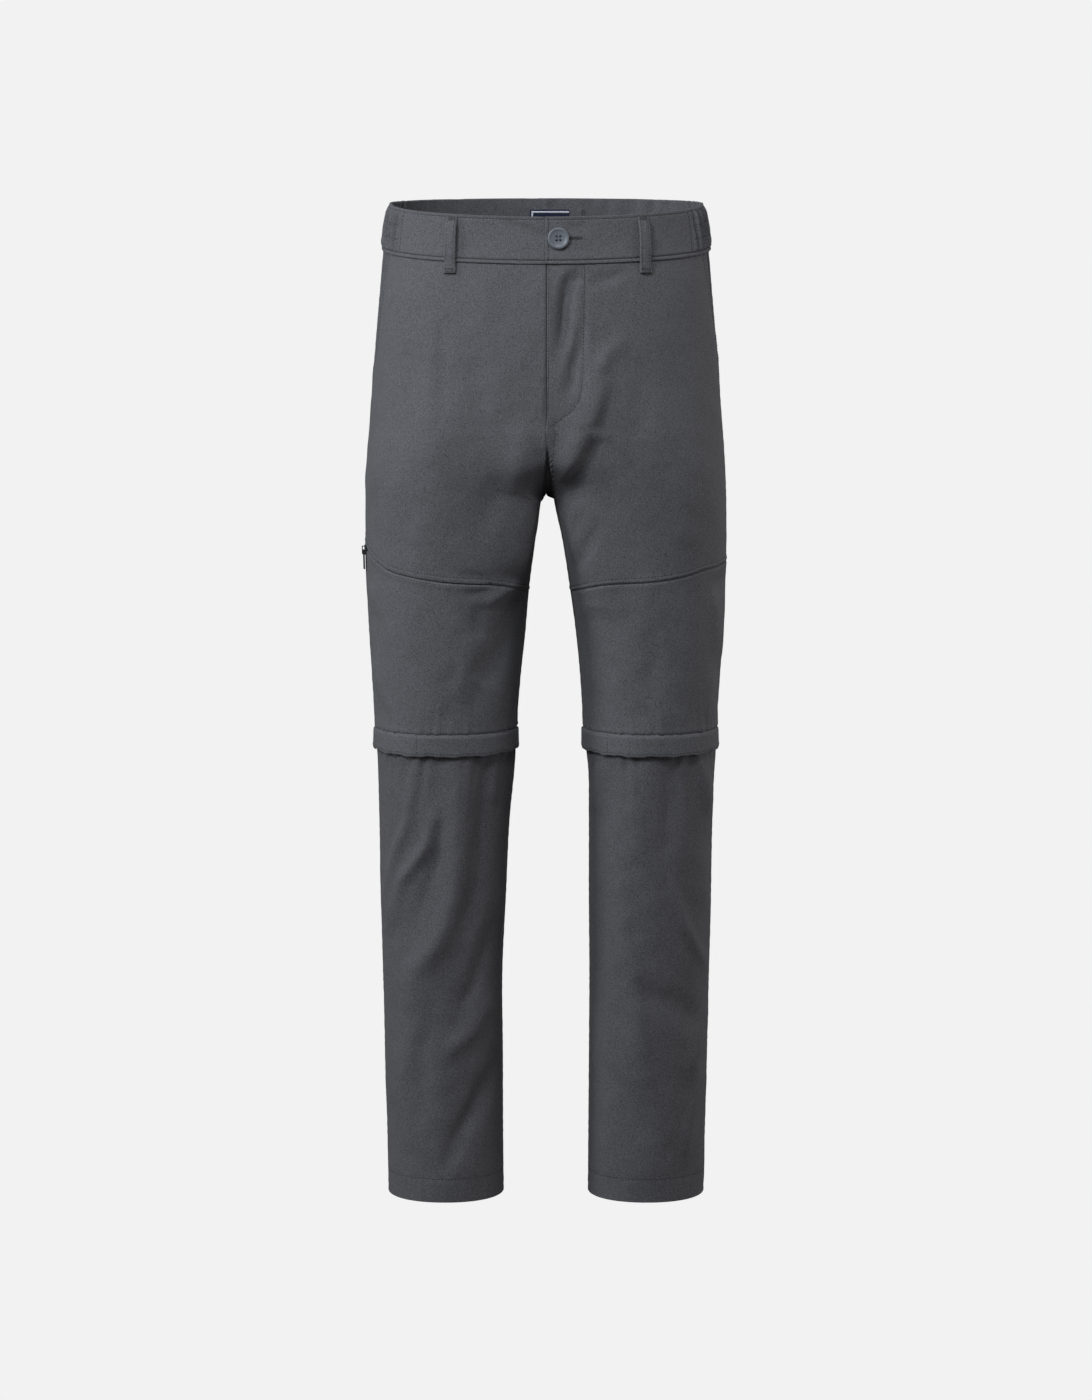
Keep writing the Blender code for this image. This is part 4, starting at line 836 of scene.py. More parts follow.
def dashes(name, lines, sizes, material, dash=None, pitch=None, width=None, height=0.00030):
    """Rows of stitches: each one is a small raised loaf of thread that follows its line."""
    dash = dash or sizes.stitch
    pitch = pitch or sizes.stitch_pitch
    width = width or sizes.thread
    points, faces = [], []
    for line in lines:
        spots = np.array([p for p, _ in line])
        outs = np.array([n for _, n in line])
        sizes_along = np.linalg.norm(np.diff(spots, axis=0), axis=1)
        travelled = np.concatenate([[0.0], np.cumsum(sizes_along)])
        for start in np.arange(pitch * 0.3, travelled[-1] - dash, pitch):
            stations = start + dash * np.array([0.0, 0.28, 0.72, 1.0])
            here = np.stack([np.interp(stations, travelled, spots[:, k]) for k in range(3)], axis=1)
            out = np.stack([np.interp(stations, travelled, outs[:, k]) for k in range(3)], axis=1)
            out = out / np.linalg.norm(out, axis=1, keepdims=True)
            way = here[-1] - here[0]
            way = way / np.linalg.norm(way)
            across = np.cross(out, way)
            across = across / np.linalg.norm(across, axis=1, keepdims=True)
            first = len(points)
            for p, n, s, w, h in zip(here, out, across, (0.55, 1.0, 1.0, 0.55), (-0.35, 1.0, 1.0, -0.35)):
                points += [p - s * width / 2 * w - n * STITCH_SINK, p - s * width / 4 * w + n * height * h]
                points += [p + s * width / 4 * w + n * height * h, p + s * width / 2 * w - n * STITCH_SINK]
            for a in range(first, first + 12, 4):
                faces += [(a + k, a + k + 1, a + k + 5, a + k + 4) for k in range(3)]
                faces.append((a + 3, a, a + 4, a + 7))
            faces.append(tuple(range(first + 3, first - 1, -1)))
            faces.append(tuple(range(first + 12, first + 16)))
    if not faces:
        raise ValueError(f"{name}: every line is too short for a stitch")
    mesh = bpy.data.meshes.new(name)
    mesh.from_pydata([tuple(p) for p in points], [], faces)
    thing = make_object(name, mesh, material)
    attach(thing, "trousers")
    return thing


def node(tree, kind, links=(), **settings):
    """Adds a node, sets its values and joins its inputs: links are (input name or index, output socket)."""
    made = tree.nodes.new(kind)
    for key, value in settings.items():
        if key == "inputs":
            for name, setting in value.items():
                made.inputs[name].default_value = setting
        else:
            setattr(made, key, value)
    for name, output in links:
        tree.links.new(output, made.inputs[name])
    return made


def ramp(made, *stops):
    """Sets a colour ramp's stops, given as (place, colour)."""
    elements = made.color_ramp.elements
    while len(elements) < len(stops):
        elements.new(0.5)
    for element, (place, shade) in zip(elements, stops):
        element.position = place
        element.color = (*shade, 1.0)
    return made


def fresh_material(name):
    """A new material, its node tree and its Principled shader."""
    made = bpy.data.materials.get(name) or bpy.data.materials.new(name)
    made.use_nodes = True
    return made, made.node_tree, made.node_tree.nodes["Principled BSDF"]


def shaded(base, factor):
    return tuple(min(v * factor, 1.0) for v in base)


def per_metre(size_mm):
    """The scale of a noise whose features are about this many millimetres across."""
    return 1000.0 / size_mm


def wave_scale(pitch_mm):
    """The scale of a band pattern with this pitch: Blender's bands repeat each 0.314 units."""
    return 0.31416 / (pitch_mm / 1000.0)


def woven_nylon(name, base, yarn_mm=0.9, heather=0.46):
    """Plain-woven nylon with a soft handle: matt, faintly mottled where the dyed yarns differ.

    The real yarns are about 0.25 mm apart, too fine to show here, so they are drawn at yarn_mm.
    """
    found = bpy.data.materials.get(name)
    if found:
        return found
    made, tree, shader = fresh_material(name)
    place = node(tree, "ShaderNodeTexCoord")
    fleck = node(
        tree, "ShaderNodeTexNoise", [("Vector", place.outputs["Object"])],
        inputs={"Scale": per_metre(0.95), "Detail": 1.0, "Roughness": 0.5},
    )
    tone = ramp(
        node(tree, "ShaderNodeValToRGB", [("Fac", fleck.outputs["Fac"])]),
        (0.30, shaded(base, 1 - heather)), (0.50, base), (0.70, shaded(base, 1 + heather)),
    )
    warp = node(
        tree, "ShaderNodeTexWave", [("Vector", place.outputs["UV"])], bands_direction="X",
        inputs={"Scale": wave_scale(yarn_mm), "Distortion": 0.6, "Detail": 1.0, "Detail Scale": 2.0},
    )
    weft = node(
        tree, "ShaderNodeTexWave", [("Vector", place.outputs["UV"])], bands_direction="Y",
        inputs={"Scale": wave_scale(yarn_mm), "Distortion": 0.6, "Detail": 1.0, "Detail Scale": 2.0},
    )
    weave = node(
        tree, "ShaderNodeMath", [(0, warp.outputs["Fac"]), (1, weft.outputs["Fac"])], operation="MULTIPLY",
    )
    yarns = ramp(
        node(tree, "ShaderNodeValToRGB", [("Fac", weave.outputs[0])]),
        (0.0, (0.86, 0.86, 0.86)), (0.7, (1.0, 1.0, 1.0)),
    )
    dyed = node(
        tree, "ShaderNodeMix", [(6, tone.outputs["Color"]), (7, yarns.outputs["Color"])],
        data_type="RGBA", blend_type="MULTIPLY", inputs={0: 0.75},
    )
    tree.links.new(dyed.outputs[2], shader.inputs["Base Color"])
    rough = node(
        tree, "ShaderNodeMapRange", [("Value", fleck.outputs["Fac"])],
        inputs={"From Min": 0.3, "From Max": 0.7, "To Min": 0.80, "To Max": 0.94},
    )
    tree.links.new(rough.outputs["Result"], shader.inputs["Roughness"])
    fine = node(
        tree, "ShaderNodeBump", [("Height", weave.outputs[0])],
        inputs={"Strength": 0.35, "Distance": 0.00012},
    )
    crumple = node(
        tree, "ShaderNodeTexNoise", [("Vector", place.outputs["Object"])],
        inputs={"Scale": per_metre(7.0), "Detail": 3.0, "Roughness": 0.55},
    )
    soft = node(
        tree, "ShaderNodeBump", [("Height", crumple.outputs["Fac"]), ("Normal", fine.outputs["Normal"])],
        inputs={"Strength": 0.30, "Distance": 0.00055},
    )
    tree.links.new(soft.outputs["Normal"], shader.inputs["Normal"])
    shader.inputs["Sheen Weight"].default_value = 0.06
    shader.inputs["Sheen Roughness"].default_value = 0.5
    shader.inputs["Specular IOR Level"].default_value = 0.28
    return made


def spun_thread(name, base):
    """Spun polyester thread: matt, with the twist of its plies across each stitch."""
    made, tree, shader = fresh_material(name)
    place = node(tree, "ShaderNodeTexCoord")
    twist = node(
        tree, "ShaderNodeTexWave", [("Vector", place.outputs["Object"])], bands_direction="DIAGONAL",
        inputs={"Scale": wave_scale(0.5), "Distortion": 1.0},
    )
    plies = ramp(
        node(tree, "ShaderNodeValToRGB", [("Fac", twist.outputs["Fac"])]),
        (0.2, shaded(base, 0.75)), (0.8, shaded(base, 1.2)),
    )
    tree.links.new(plies.outputs["Color"], shader.inputs["Base Color"])
    relief = node(
        tree, "ShaderNodeBump", [("Height", twist.outputs["Fac"])],
        inputs={"Strength": 0.4, "Distance": 0.0001},
    )
    tree.links.new(relief.outputs["Normal"], shader.inputs["Normal"])
    shader.inputs["Roughness"].default_value = 0.72
    return made


def knitted_tape(name, base):
    """Knitted polyester zip tape: matt ribs about 0.8 mm apart, drawn at 1 mm."""
    made, tree, shader = fresh_material(name)
    place = node(tree, "ShaderNodeTexCoord")
    ribs = node(
        tree, "ShaderNodeTexWave", [("Vector", place.outputs["Object"])], bands_direction="Z",
        inputs={"Scale": wave_scale(1.0), "Distortion": 0.8, "Detail": 1.0},
    )
    tone = ramp(
        node(tree, "ShaderNodeValToRGB", [("Fac", ribs.outputs["Fac"])]),
        (0.15, shaded(base, 0.7)), (0.85, shaded(base, 1.2)),
    )
    tree.links.new(tone.outputs["Color"], shader.inputs["Base Color"])
    relief = node(
        tree, "ShaderNodeBump", [("Height", ribs.outputs["Fac"])],
        inputs={"Strength": 0.5, "Distance": 0.0002},
    )
    tree.links.new(relief.outputs["Normal"], shader.inputs["Normal"])
    shader.inputs["Roughness"].default_value = 0.82
    return made


def moulded_plastic(name, base, roughness):
    """Moulded plastic: an even satin face with faint flow marks and a fine tooled grain."""
    made, tree, shader = fresh_material(name)
    place = node(tree, "ShaderNodeTexCoord")
    flow = node(
        tree, "ShaderNodeTexNoise", [("Vector", place.outputs["Object"])],
        inputs={"Scale": per_metre(1.6), "Detail": 3.0, "Distortion": 0.8},
    )
    tone = ramp(
        node(tree, "ShaderNodeValToRGB", [("Fac", flow.outputs["Fac"])]),
        (0.35, shaded(base, 0.90)), (0.65, shaded(base, 1.08)),
    )
    tree.links.new(tone.outputs["Color"], shader.inputs["Base Color"])
    gloss = node(
        tree, "ShaderNodeMapRange", [("Value", flow.outputs["Fac"])],
        inputs={"To Min": roughness - 0.06, "To Max": roughness + 0.08},
    )
    tree.links.new(gloss.outputs["Result"], shader.inputs["Roughness"])
    relief = node(
        tree, "ShaderNodeBump", [("Height", flow.outputs["Fac"])],
        inputs={"Strength": 0.10, "Distance": 0.0001},
    )
    tree.links.new(relief.outputs["Normal"], shader.inputs["Normal"])
    shader.inputs["IOR"].default_value = 1.50
    return made


def painted_zinc(name, base):
    """Die-cast zinc under dark paint: a satin face, rubbed thinner and brighter on its high spots."""
    made, tree, shader = fresh_material(name)
    place = node(tree, "ShaderNodeTexCoord")
    rub = node(
        tree, "ShaderNodeTexNoise", [("Vector", place.outputs["Object"])],
        inputs={"Scale": per_metre(1.1), "Detail": 4.0, "Roughness": 0.6},
    )
    tone = ramp(
        node(tree, "ShaderNodeValToRGB", [("Fac", rub.outputs["Fac"])]),
        (0.45, base), (0.72, shaded(base, 2.2)),
    )
    tree.links.new(tone.outputs["Color"], shader.inputs["Base Color"])
    gloss = node(
        tree, "ShaderNodeMapRange", [("Value", rub.outputs["Fac"])],
        inputs={"To Min": 0.34, "To Max": 0.50},
    )
    tree.links.new(gloss.outputs["Result"], shader.inputs["Roughness"])
    shader.inputs["Metallic"].default_value = 0.6
    return made


def glowing_paper(name, base):
    """Seamless background paper, evenly lit from behind."""
    made, _, shader = fresh_material(name)
    shader.inputs["Base Color"].default_value = (0.0, 0.0, 0.0, 1.0)
    shader.inputs["Specular IOR Level"].default_value = 0.0
    shader.inputs["Emission Color"].default_value = (*base, 1.0)
    shader.inputs["Emission Strength"].default_value = 1.0
    return made


def upper_cloth():
    return woven_nylon("woven_nylon_upper", tuple(bpy.context.scene.trouser_colours.cloth))


# The same woven nylon as above the knee in the darker colour: painted shade on the less lit lower legs
def shaded_lower_cloth():
    return woven_nylon("woven_nylon_lower_painted_shade", tuple(bpy.context.scene.trouser_colours.shaded_lower_cloth))


def thread():
    name = "spun_polyester_thread"
    return bpy.data.materials.get(name) or spun_thread(name, tuple(bpy.context.scene.trouser_colours.thread))


# Cloth that later steps sew or button onto
MADE = {}


class TROUSERS_OT_fronts(bpy.types.Operator):
    """Makes both fronts, from the waist seam to the seam across the thigh, with the fly and pocket mouths"""

    bl_idname = "trousers.fronts"
    bl_label = "Fronts"

    def execute(self, context):
        sizes = context.scene.trouser_sizes
        lines = []
        for side in SIGN:
            share = shares_at(upper_face, side, "front", -0.20, sizes.step)[None, :]
            top = band_bottom("front", share * (1 - POCKET_TOP_SHARE))
            bottom = THIGH_SEAM_AT[side](share) + zip_groove(side, share)
            z = warped(levels_between(-0.036, -0.386, sizes.step), top, bottom, 0.062)
            cloth = Cloth(upper_face, side, "front", pocket_edge(share, z), z)
            cloth.add_folds(sizes.fold_lift)
            cloth.add_seam("top", dip=0.0006, ridge=0.0)
            in_fork = smoothstep(-0.215, -0.235, z)
            fly_edge = 1.0 if side == "left" else 0.4
            at_fly = fly_edge * (1 - in_fork)
            cloth.add_seam("inner", dip=0.0004, ridge=0.0003, pucker=FLY_PUCKER, where=at_fly)
            cloth.add_seam("inner", dip=0.0009, ridge=0.0005, where=in_fork)
            at_mouth = smoothstep(-0.186, -0.178, z)
            cloth.add_seam("outer", dip=0.0, ridge=0.0005, where=at_mouth)
            cloth.add_seam("outer", dip=0.0008, ridge=0.0003, where=1 - at_mouth)
            cloth.add_groove("outer", MOUTH_STITCHES[1], where=at_mouth)
            at_zip = zip_groove(side, share) / (ZIP_GROOVE / 2)
            cloth.add_seam("bottom", dip=0.0009, ridge=0.0006, where=1 - 0.6 * at_zip)
            cloth.add_groove("bottom", SEAM_STITCHES[1])
            if side == "left":
                fly = smoothstep(-0.222, -0.205, z)
                cloth.lift = cloth.lift + path_lift(cloth.base[..., ::2], FLY_STITCH, *FLY_GROOVE)
                above_fork = smoothstep(-0.226, -0.214, z)
                cloth.lift = cloth.lift - 0.0006 * np.exp(-cloth.to["inner"] / 0.010) * above_fork
            outer, inner = cloth.walls(sizes.cloth)
            if side == "left":
                for grid in (outer, inner):
                    grid[:, :4, 0] += FLY_SLIT * fly[:, :4] * np.linspace(1.0, 0.25, 4)
            piece = wall("cloth_front_" + side, outer, inner, upper_cloth())
            sew_in(piece, "front_" + side, outer)
            MADE["front_" + side] = cloth
            mouth_end = place_in(-z[:, -1], POCKET_DEPTH - band_bottom("front", 1.0))
            lines += [cloth.edge_line("outer", away, 0.005, mouth_end) for away in MOUTH_STITCHES]
            middle_fall = -cloth.surface[:, 0, 2]
            stops = (0.99, 0.99) if side == "left" else (place_in(share[0], ZIP_INNER_END), 0.90)
            lines += [cloth.edge_line("bottom", away, 0.01, stop) for away, stop in zip(SEAM_STITCHES, stops)]
            if side == "left":
                lines.append(cloth.drawn_line(FLY_STITCH))
                lines.append(cloth.edge_line("inner", SEAM_STITCHES[0], 0.01, 0.50))
                fork = [place_in(middle_fall, -z_end) for z_end in (FLY_END, CROTCH + 0.008)]
                lines.append(cloth.edge_line("inner", FORK_STITCH, *fork))
        dashes("stitches_fronts", lines, sizes, thread())
        return {"FINISHED"}


class TROUSERS_OT_thighs(bpy.types.Operator):
    """Makes the fronts of the thighs, from the seam across them to the knee seam"""

    bl_idname = "trousers.thighs"
    bl_label = "Thigh fronts"

    def execute(self, context):
        sizes = context.scene.trouser_sizes
        lines = []
        for side in SIGN:
            share = shares_at(upper_face, side, "front", -0.47, sizes.step)[None, :]
            top = THIGH_SEAM_AT[side](share) - zip_groove(side, share)
            z = warped(levels_between(-0.386, KNEE_SEAM, sizes.step), top, KNEE_SEAM + 0 * share, 0.110)
            cloth = Cloth(upper_face, side, "front", share, z)
            cloth.add_folds(sizes.fold_lift)
            at_zip = zip_groove(side, share) / (ZIP_GROOVE / 2)
            cloth.add_seam("top", dip=0.0008, ridge=0.0002 + 0.0004 * at_zip)
            lean = 0.9 * SIGN[side] * smoothstep(0.45, 0.05, share)
            cloth.add_seam("bottom", dip=0.0006, ridge=0.0002, pucker=KNEE_GATHER, lean=lean)
            cloth.add_seam("inner")
            cloth.add_seam("outer")
            outer, inner = cloth.walls(sizes.cloth)
            piece = wall("cloth_thigh_front_" + side, outer, inner, upper_cloth())
            sew_in(piece, "thigh_front_" + side, outer)
            if side == "right":
                lines.append(cloth.edge_line("top", ZIP_STITCH, place_in(share[0], ZIP_INNER_END), 0.99))
        dashes("stitches_thighs", lines, sizes, thread())
        return {"FINISHED"}


class TROUSERS_OT_backs(bpy.types.Operator):
    """Makes both backs, each in one length from the waist seam to the knee seam"""

    bl_idname = "trousers.backs"
    bl_label = "Backs"

    def execute(self, context):
        sizes = context.scene.trouser_sizes
        lines = []
        for side in SIGN:
            share = shares_at(upper_face, side, "back", -0.20, sizes.step)[None, :]
            levels = levels_between(-0.036, KNEE_SEAM, sizes.step)
            z = warped(levels, band_bottom("back", share), KNEE_SEAM + 0 * share, 0.060)
            cloth = Cloth(upper_face, side, "back", share, z)
            cloth.add_folds(sizes.fold_lift)
            cloth.add_seam("top", dip=0.0006, ridge=0.0)
            cloth.add_seam("bottom", dip=0.0006, ridge=0.0002, pucker=KNEE_GATHER)
            cloth.add_seam("inner", dip=0.0009, ridge=0.0006)
            cloth.add_seam("outer")
            cloth.add_groove("inner", SEAT_STITCHES[1], where=smoothstep(CROTCH, CROTCH + 0.02, z))
            outer, inner = cloth.walls(sizes.cloth)
            piece = wall("cloth_back_" + side, outer, inner, upper_cloth())
            sew_in(piece, "back_" + side, outer)
            crotch = place_in(-cloth.surface[:, 0, 2], -CROTCH - 0.004)
            if side == "left":
                lines += [cloth.edge_line("inner", away, 0.005, crotch) for away in SEAT_STITCHES]
        dashes("stitches_backs", lines, sizes, thread())
        return {"FINISHED"}


class TROUSERS_OT_lower_legs(bpy.types.Operator):
    """Makes the zip-off lower legs with their turned-up hems"""

    bl_idname = "trousers.lower_legs"
    bl_label = "Lower legs"

    def execute(self, context):
        sizes = context.scene.trouser_sizes
        lines = []
        for side in SIGN:
            for half in OUTWARD:
                share = shares_at(lower_face, side, half, -0.80, sizes.step)[None, :]
                z = levels_between(ZIP_BOTTOM - SEAM, HEM, sizes.step)[:, None] + 0 * share
                cloth = Cloth(lower_face, side, half, share, z)
                cloth.add_folds(sizes.fold_lift)
                scallop = ZIP_GATHER if half == "front" else KNEE_GATHER
                cloth.add_seam("top", dip=0.0006, ridge=0.0, pucker=scallop)
                cloth.add_seam("inner")
                cloth.add_seam("outer")
                cloth.add_groove("bottom", HEM_FOLD, depth=0.0003, width=0.0010)
                from_hem = np.abs(cloth.to["bottom"] - HEM_FOLD * 0.7)
                cloth.lift = cloth.lift + ripple(cloth.across, from_hem, *HEM_PUCKER)
                thickness = np.where(z < HEM + HEM_FOLD, sizes.cloth + HEM_LAYER, sizes.cloth)
                outer, inner = cloth.walls(thickness, SIDE_EDGES)
                node_name = f"lower_leg_{half}_{side}"
                piece = wall("cloth_" + node_name, outer, inner, shaded_lower_cloth())
                sew_in(piece, node_name, outer)
                lines.append(cloth.edge_line("bottom", HEM_FOLD))
        dashes("stitches_hems", lines, sizes, thread())
        return {"FINISHED"}


def ring_points(face, side, z, inward, lift):
    """Points all round one leg: z, inward and lift give every row's and column's value."""
    count = z.shape[1] // 2
    front = np.linspace(0.0, 1.0, count, endpoint=False)[None, :]
    halves = []
    for half, share, part in (("front", front, slice(0, count)), ("back", 1.0 - front, slice(count, None))):
        share = np.broadcast_to(share, z[:, part].shape)
        base = face(side, half, share, z[:, part])
        out = normals(face, side, half, share, z[:, part])
        halves.append(base + out * (lift[:, part] - inward[:, part])[..., None])
    return np.concatenate(halves, axis=1)


class TROUSERS_OT_knees(bpy.types.Operator):
    """Makes the storm flaps over the knee zips, and the zips themselves"""

    bl_idname = "trousers.knees"
    bl_label = "Knee flaps and zips"

    def execute(self, context):
        sizes = context.scene.trouser_sizes
        colours = context.scene.trouser_colours
        tape = knitted_tape("knitted_polyester_tape", tuple(colours.tape))
        coil = moulded_plastic("moulded_nylon_coil", tuple(colours.coil), 0.45)
        count = KNEE_COLUMNS
        half_turn = np.linspace(0, 1, count, endpoint=False)
        turn = np.concatenate([half_turn, 1 - half_turn])
        around = np.linspace(0, 0.5, 2 * count, endpoint=False)[None, :]
        lines = []
        for side in SIGN:
            wave = 0.0006 * np.sin(2 * math.pi * around / 0.041 + SIGN[side])
            wave = wave + 0.0004 * np.sin(2 * math.pi * around / 0.0171)
            drop = FLAP_BOTTOM - 0.0015 * np.sin(math.pi * turn)[None, :] + wave
            fractions = np.array([0.0, 0.04, 0.10, 0.18, 0.30, 0.45, 0.60, 0.75, 0.88, 0.96, 1.0])[:, None]
            z = (KNEE_SEAM - SEAM) + fractions * (drop - KNEE_SEAM + SEAM)
            proud = 0.0024 * smoothstep(0.0, 0.12, fractions) - 0.0002 * smoothstep(0.94, 1.0, fractions)
            lift = ripple(around, fractions * 0.022, 0.0105, 0.00050, 0.016) + 0 * z
            lift = lift + 0.0007 * np.sin(2 * math.pi * around / 0.083 + 0.9) * fractions
            inward = 0.0007 - proud + 0 * z
            outer = ring_points(upper_face, side, z, inward, lift)
            inner = ring_points(upper_face, side, z, inward + sizes.flap_cloth, lift)
            piece = wall("cloth_knee_flap_" + side, outer, inner, upper_cloth(), ring=True)
            whole = np.concatenate([outer, outer[:, :1]], axis=1)
            sew_in(piece, "knee_flap_" + side, outer, ring=whole)
            lines += self.flap_stitches(outer, side)
            self.make_zip(side, tape, coil, count, sizes)
        dashes("stitches_flaps", lines, sizes, thread())
        return {"FINISHED"}

    @staticmethod
    def flap_stitches(outer, side):
        """A row along the flap's lower edge, and one down the join near its middle."""
        centre = outer.mean(axis=1, keepdims=True)
        out = outer - centre
        out[..., 2] = 0
        out = out / np.linalg.norm(out, axis=-1, keepdims=True)
        row = [(outer[8, j], out[8, j]) for j in range(outer.shape[1])]
        join = FLAP_JOIN_COLUMN[side]
        upright = [(outer[i, join], out[i, join]) for i in range(outer.shape[0] - 1)]
        return [row, upright]

    @staticmethod
    def make_zip(side, tape, coil, count, sizes):
        """Two tapes as one ring, with the coil's turns standing on it."""
        heights = np.array([KNEE_SEAM - 2 * SEAM, -0.5560, -0.5590, -0.5630, -0.5670, ZIP_BOTTOM])[:, None]
        z = np.repeat(heights, 2 * count, axis=1)
        inward = sizes.flap_cloth + SEAM + 0.0006 + 0 * z
        inward[0] -= 0.0002
        outer = ring_points(upper_face, side, z, inward, 0 * z)
        inner = ring_points(upper_face, side, z, inward + KNEE_TAPE, 0 * z)
        piece = wall("tape_knee_zip_" + side, outer, inner, tape, ring=True, thickness=KNEE_TAPE)
        whole = np.concatenate([outer, outer[:, :1]], axis=1)
        sew_in(piece, "knee_zip_" + side, outer, ring=whole)
        line_z = np.full((1, 2 * count), KNEE_COIL)
        spots = ring_points(upper_face, side, line_z, inward[:1], 0 * line_z)[0]
        spots = np.concatenate([spots, spots[:1]])
        centre = spots.mean(axis=0)
        line = [(p, (p - centre) / np.linalg.norm(p - centre)) for p in spots]
        name = "coil_knee_zip_" + side
        teeth = dashes(name, [line], sizes, coil, COIL_TURN, COIL_PITCH, width=0.0042, height=0.0005)


def band_section(fractions):
    """How far the waistband stands out from top to bottom: its lower edge flares and is rolled."""
    flare = 0.0004 * smoothstep(0.25, 0.0, fractions) - 0.0006 * bump(fractions - 0.42, 0.22)
    roll = 0.0010 * smoothstep(0.70, 0.96, fractions) - 0.0013 * bump(fractions - 0.93, 0.011)
    return flare + roll - 0.0005 * bump(fractions - 0.055, 0.012)


# Rows of the waistband as shares of its height, close together at its edges and along its stitches
BAND_FRACTIONS = np.array(
    [0.0, 0.012, 0.028, 0.045, 0.055, 0.067, 0.09, 0.13, 0.19, 0.26, 0.34, 0.42, 0.50, 0.58, 0.66, 0.74]
    + [0.81, 0.87, 0.905, 0.922, 0.93, 0.938, 0.955, 0.972, 0.988, 1.0]
)[:, None]


def band_cloth(side, half, share):
    """A stretch of waistband as cloth, with its section and its edges' unevenness."""
    z = band_top(half, share) - BAND_FRACTIONS * (BAND_HEIGHT - SEAM)
    cloth = Cloth(upper_face, side, half, share, z)
    cloth.lift = cloth.lift + BAND_PROUD + band_section(BAND_FRACTIONS) + 0.4 * wander(cloth.base)
    edge = np.minimum(cloth.to["top"], cloth.to["bottom"])
    along = cloth.base[..., 0] * 1.2 + cloth.base[..., 1]
    cloth.lift = cloth.lift + ripple(along, edge, *BAND_PUCKER)
    return cloth


def band_inside(cloth, sizes, lift=0.0):
    """The waistband's inner face, which may stand in by a lift of its own."""
    return cloth.base - cloth.out * (sizes.band_cloth - BAND_PROUD + 0 * cloth.lift + lift)[..., None]


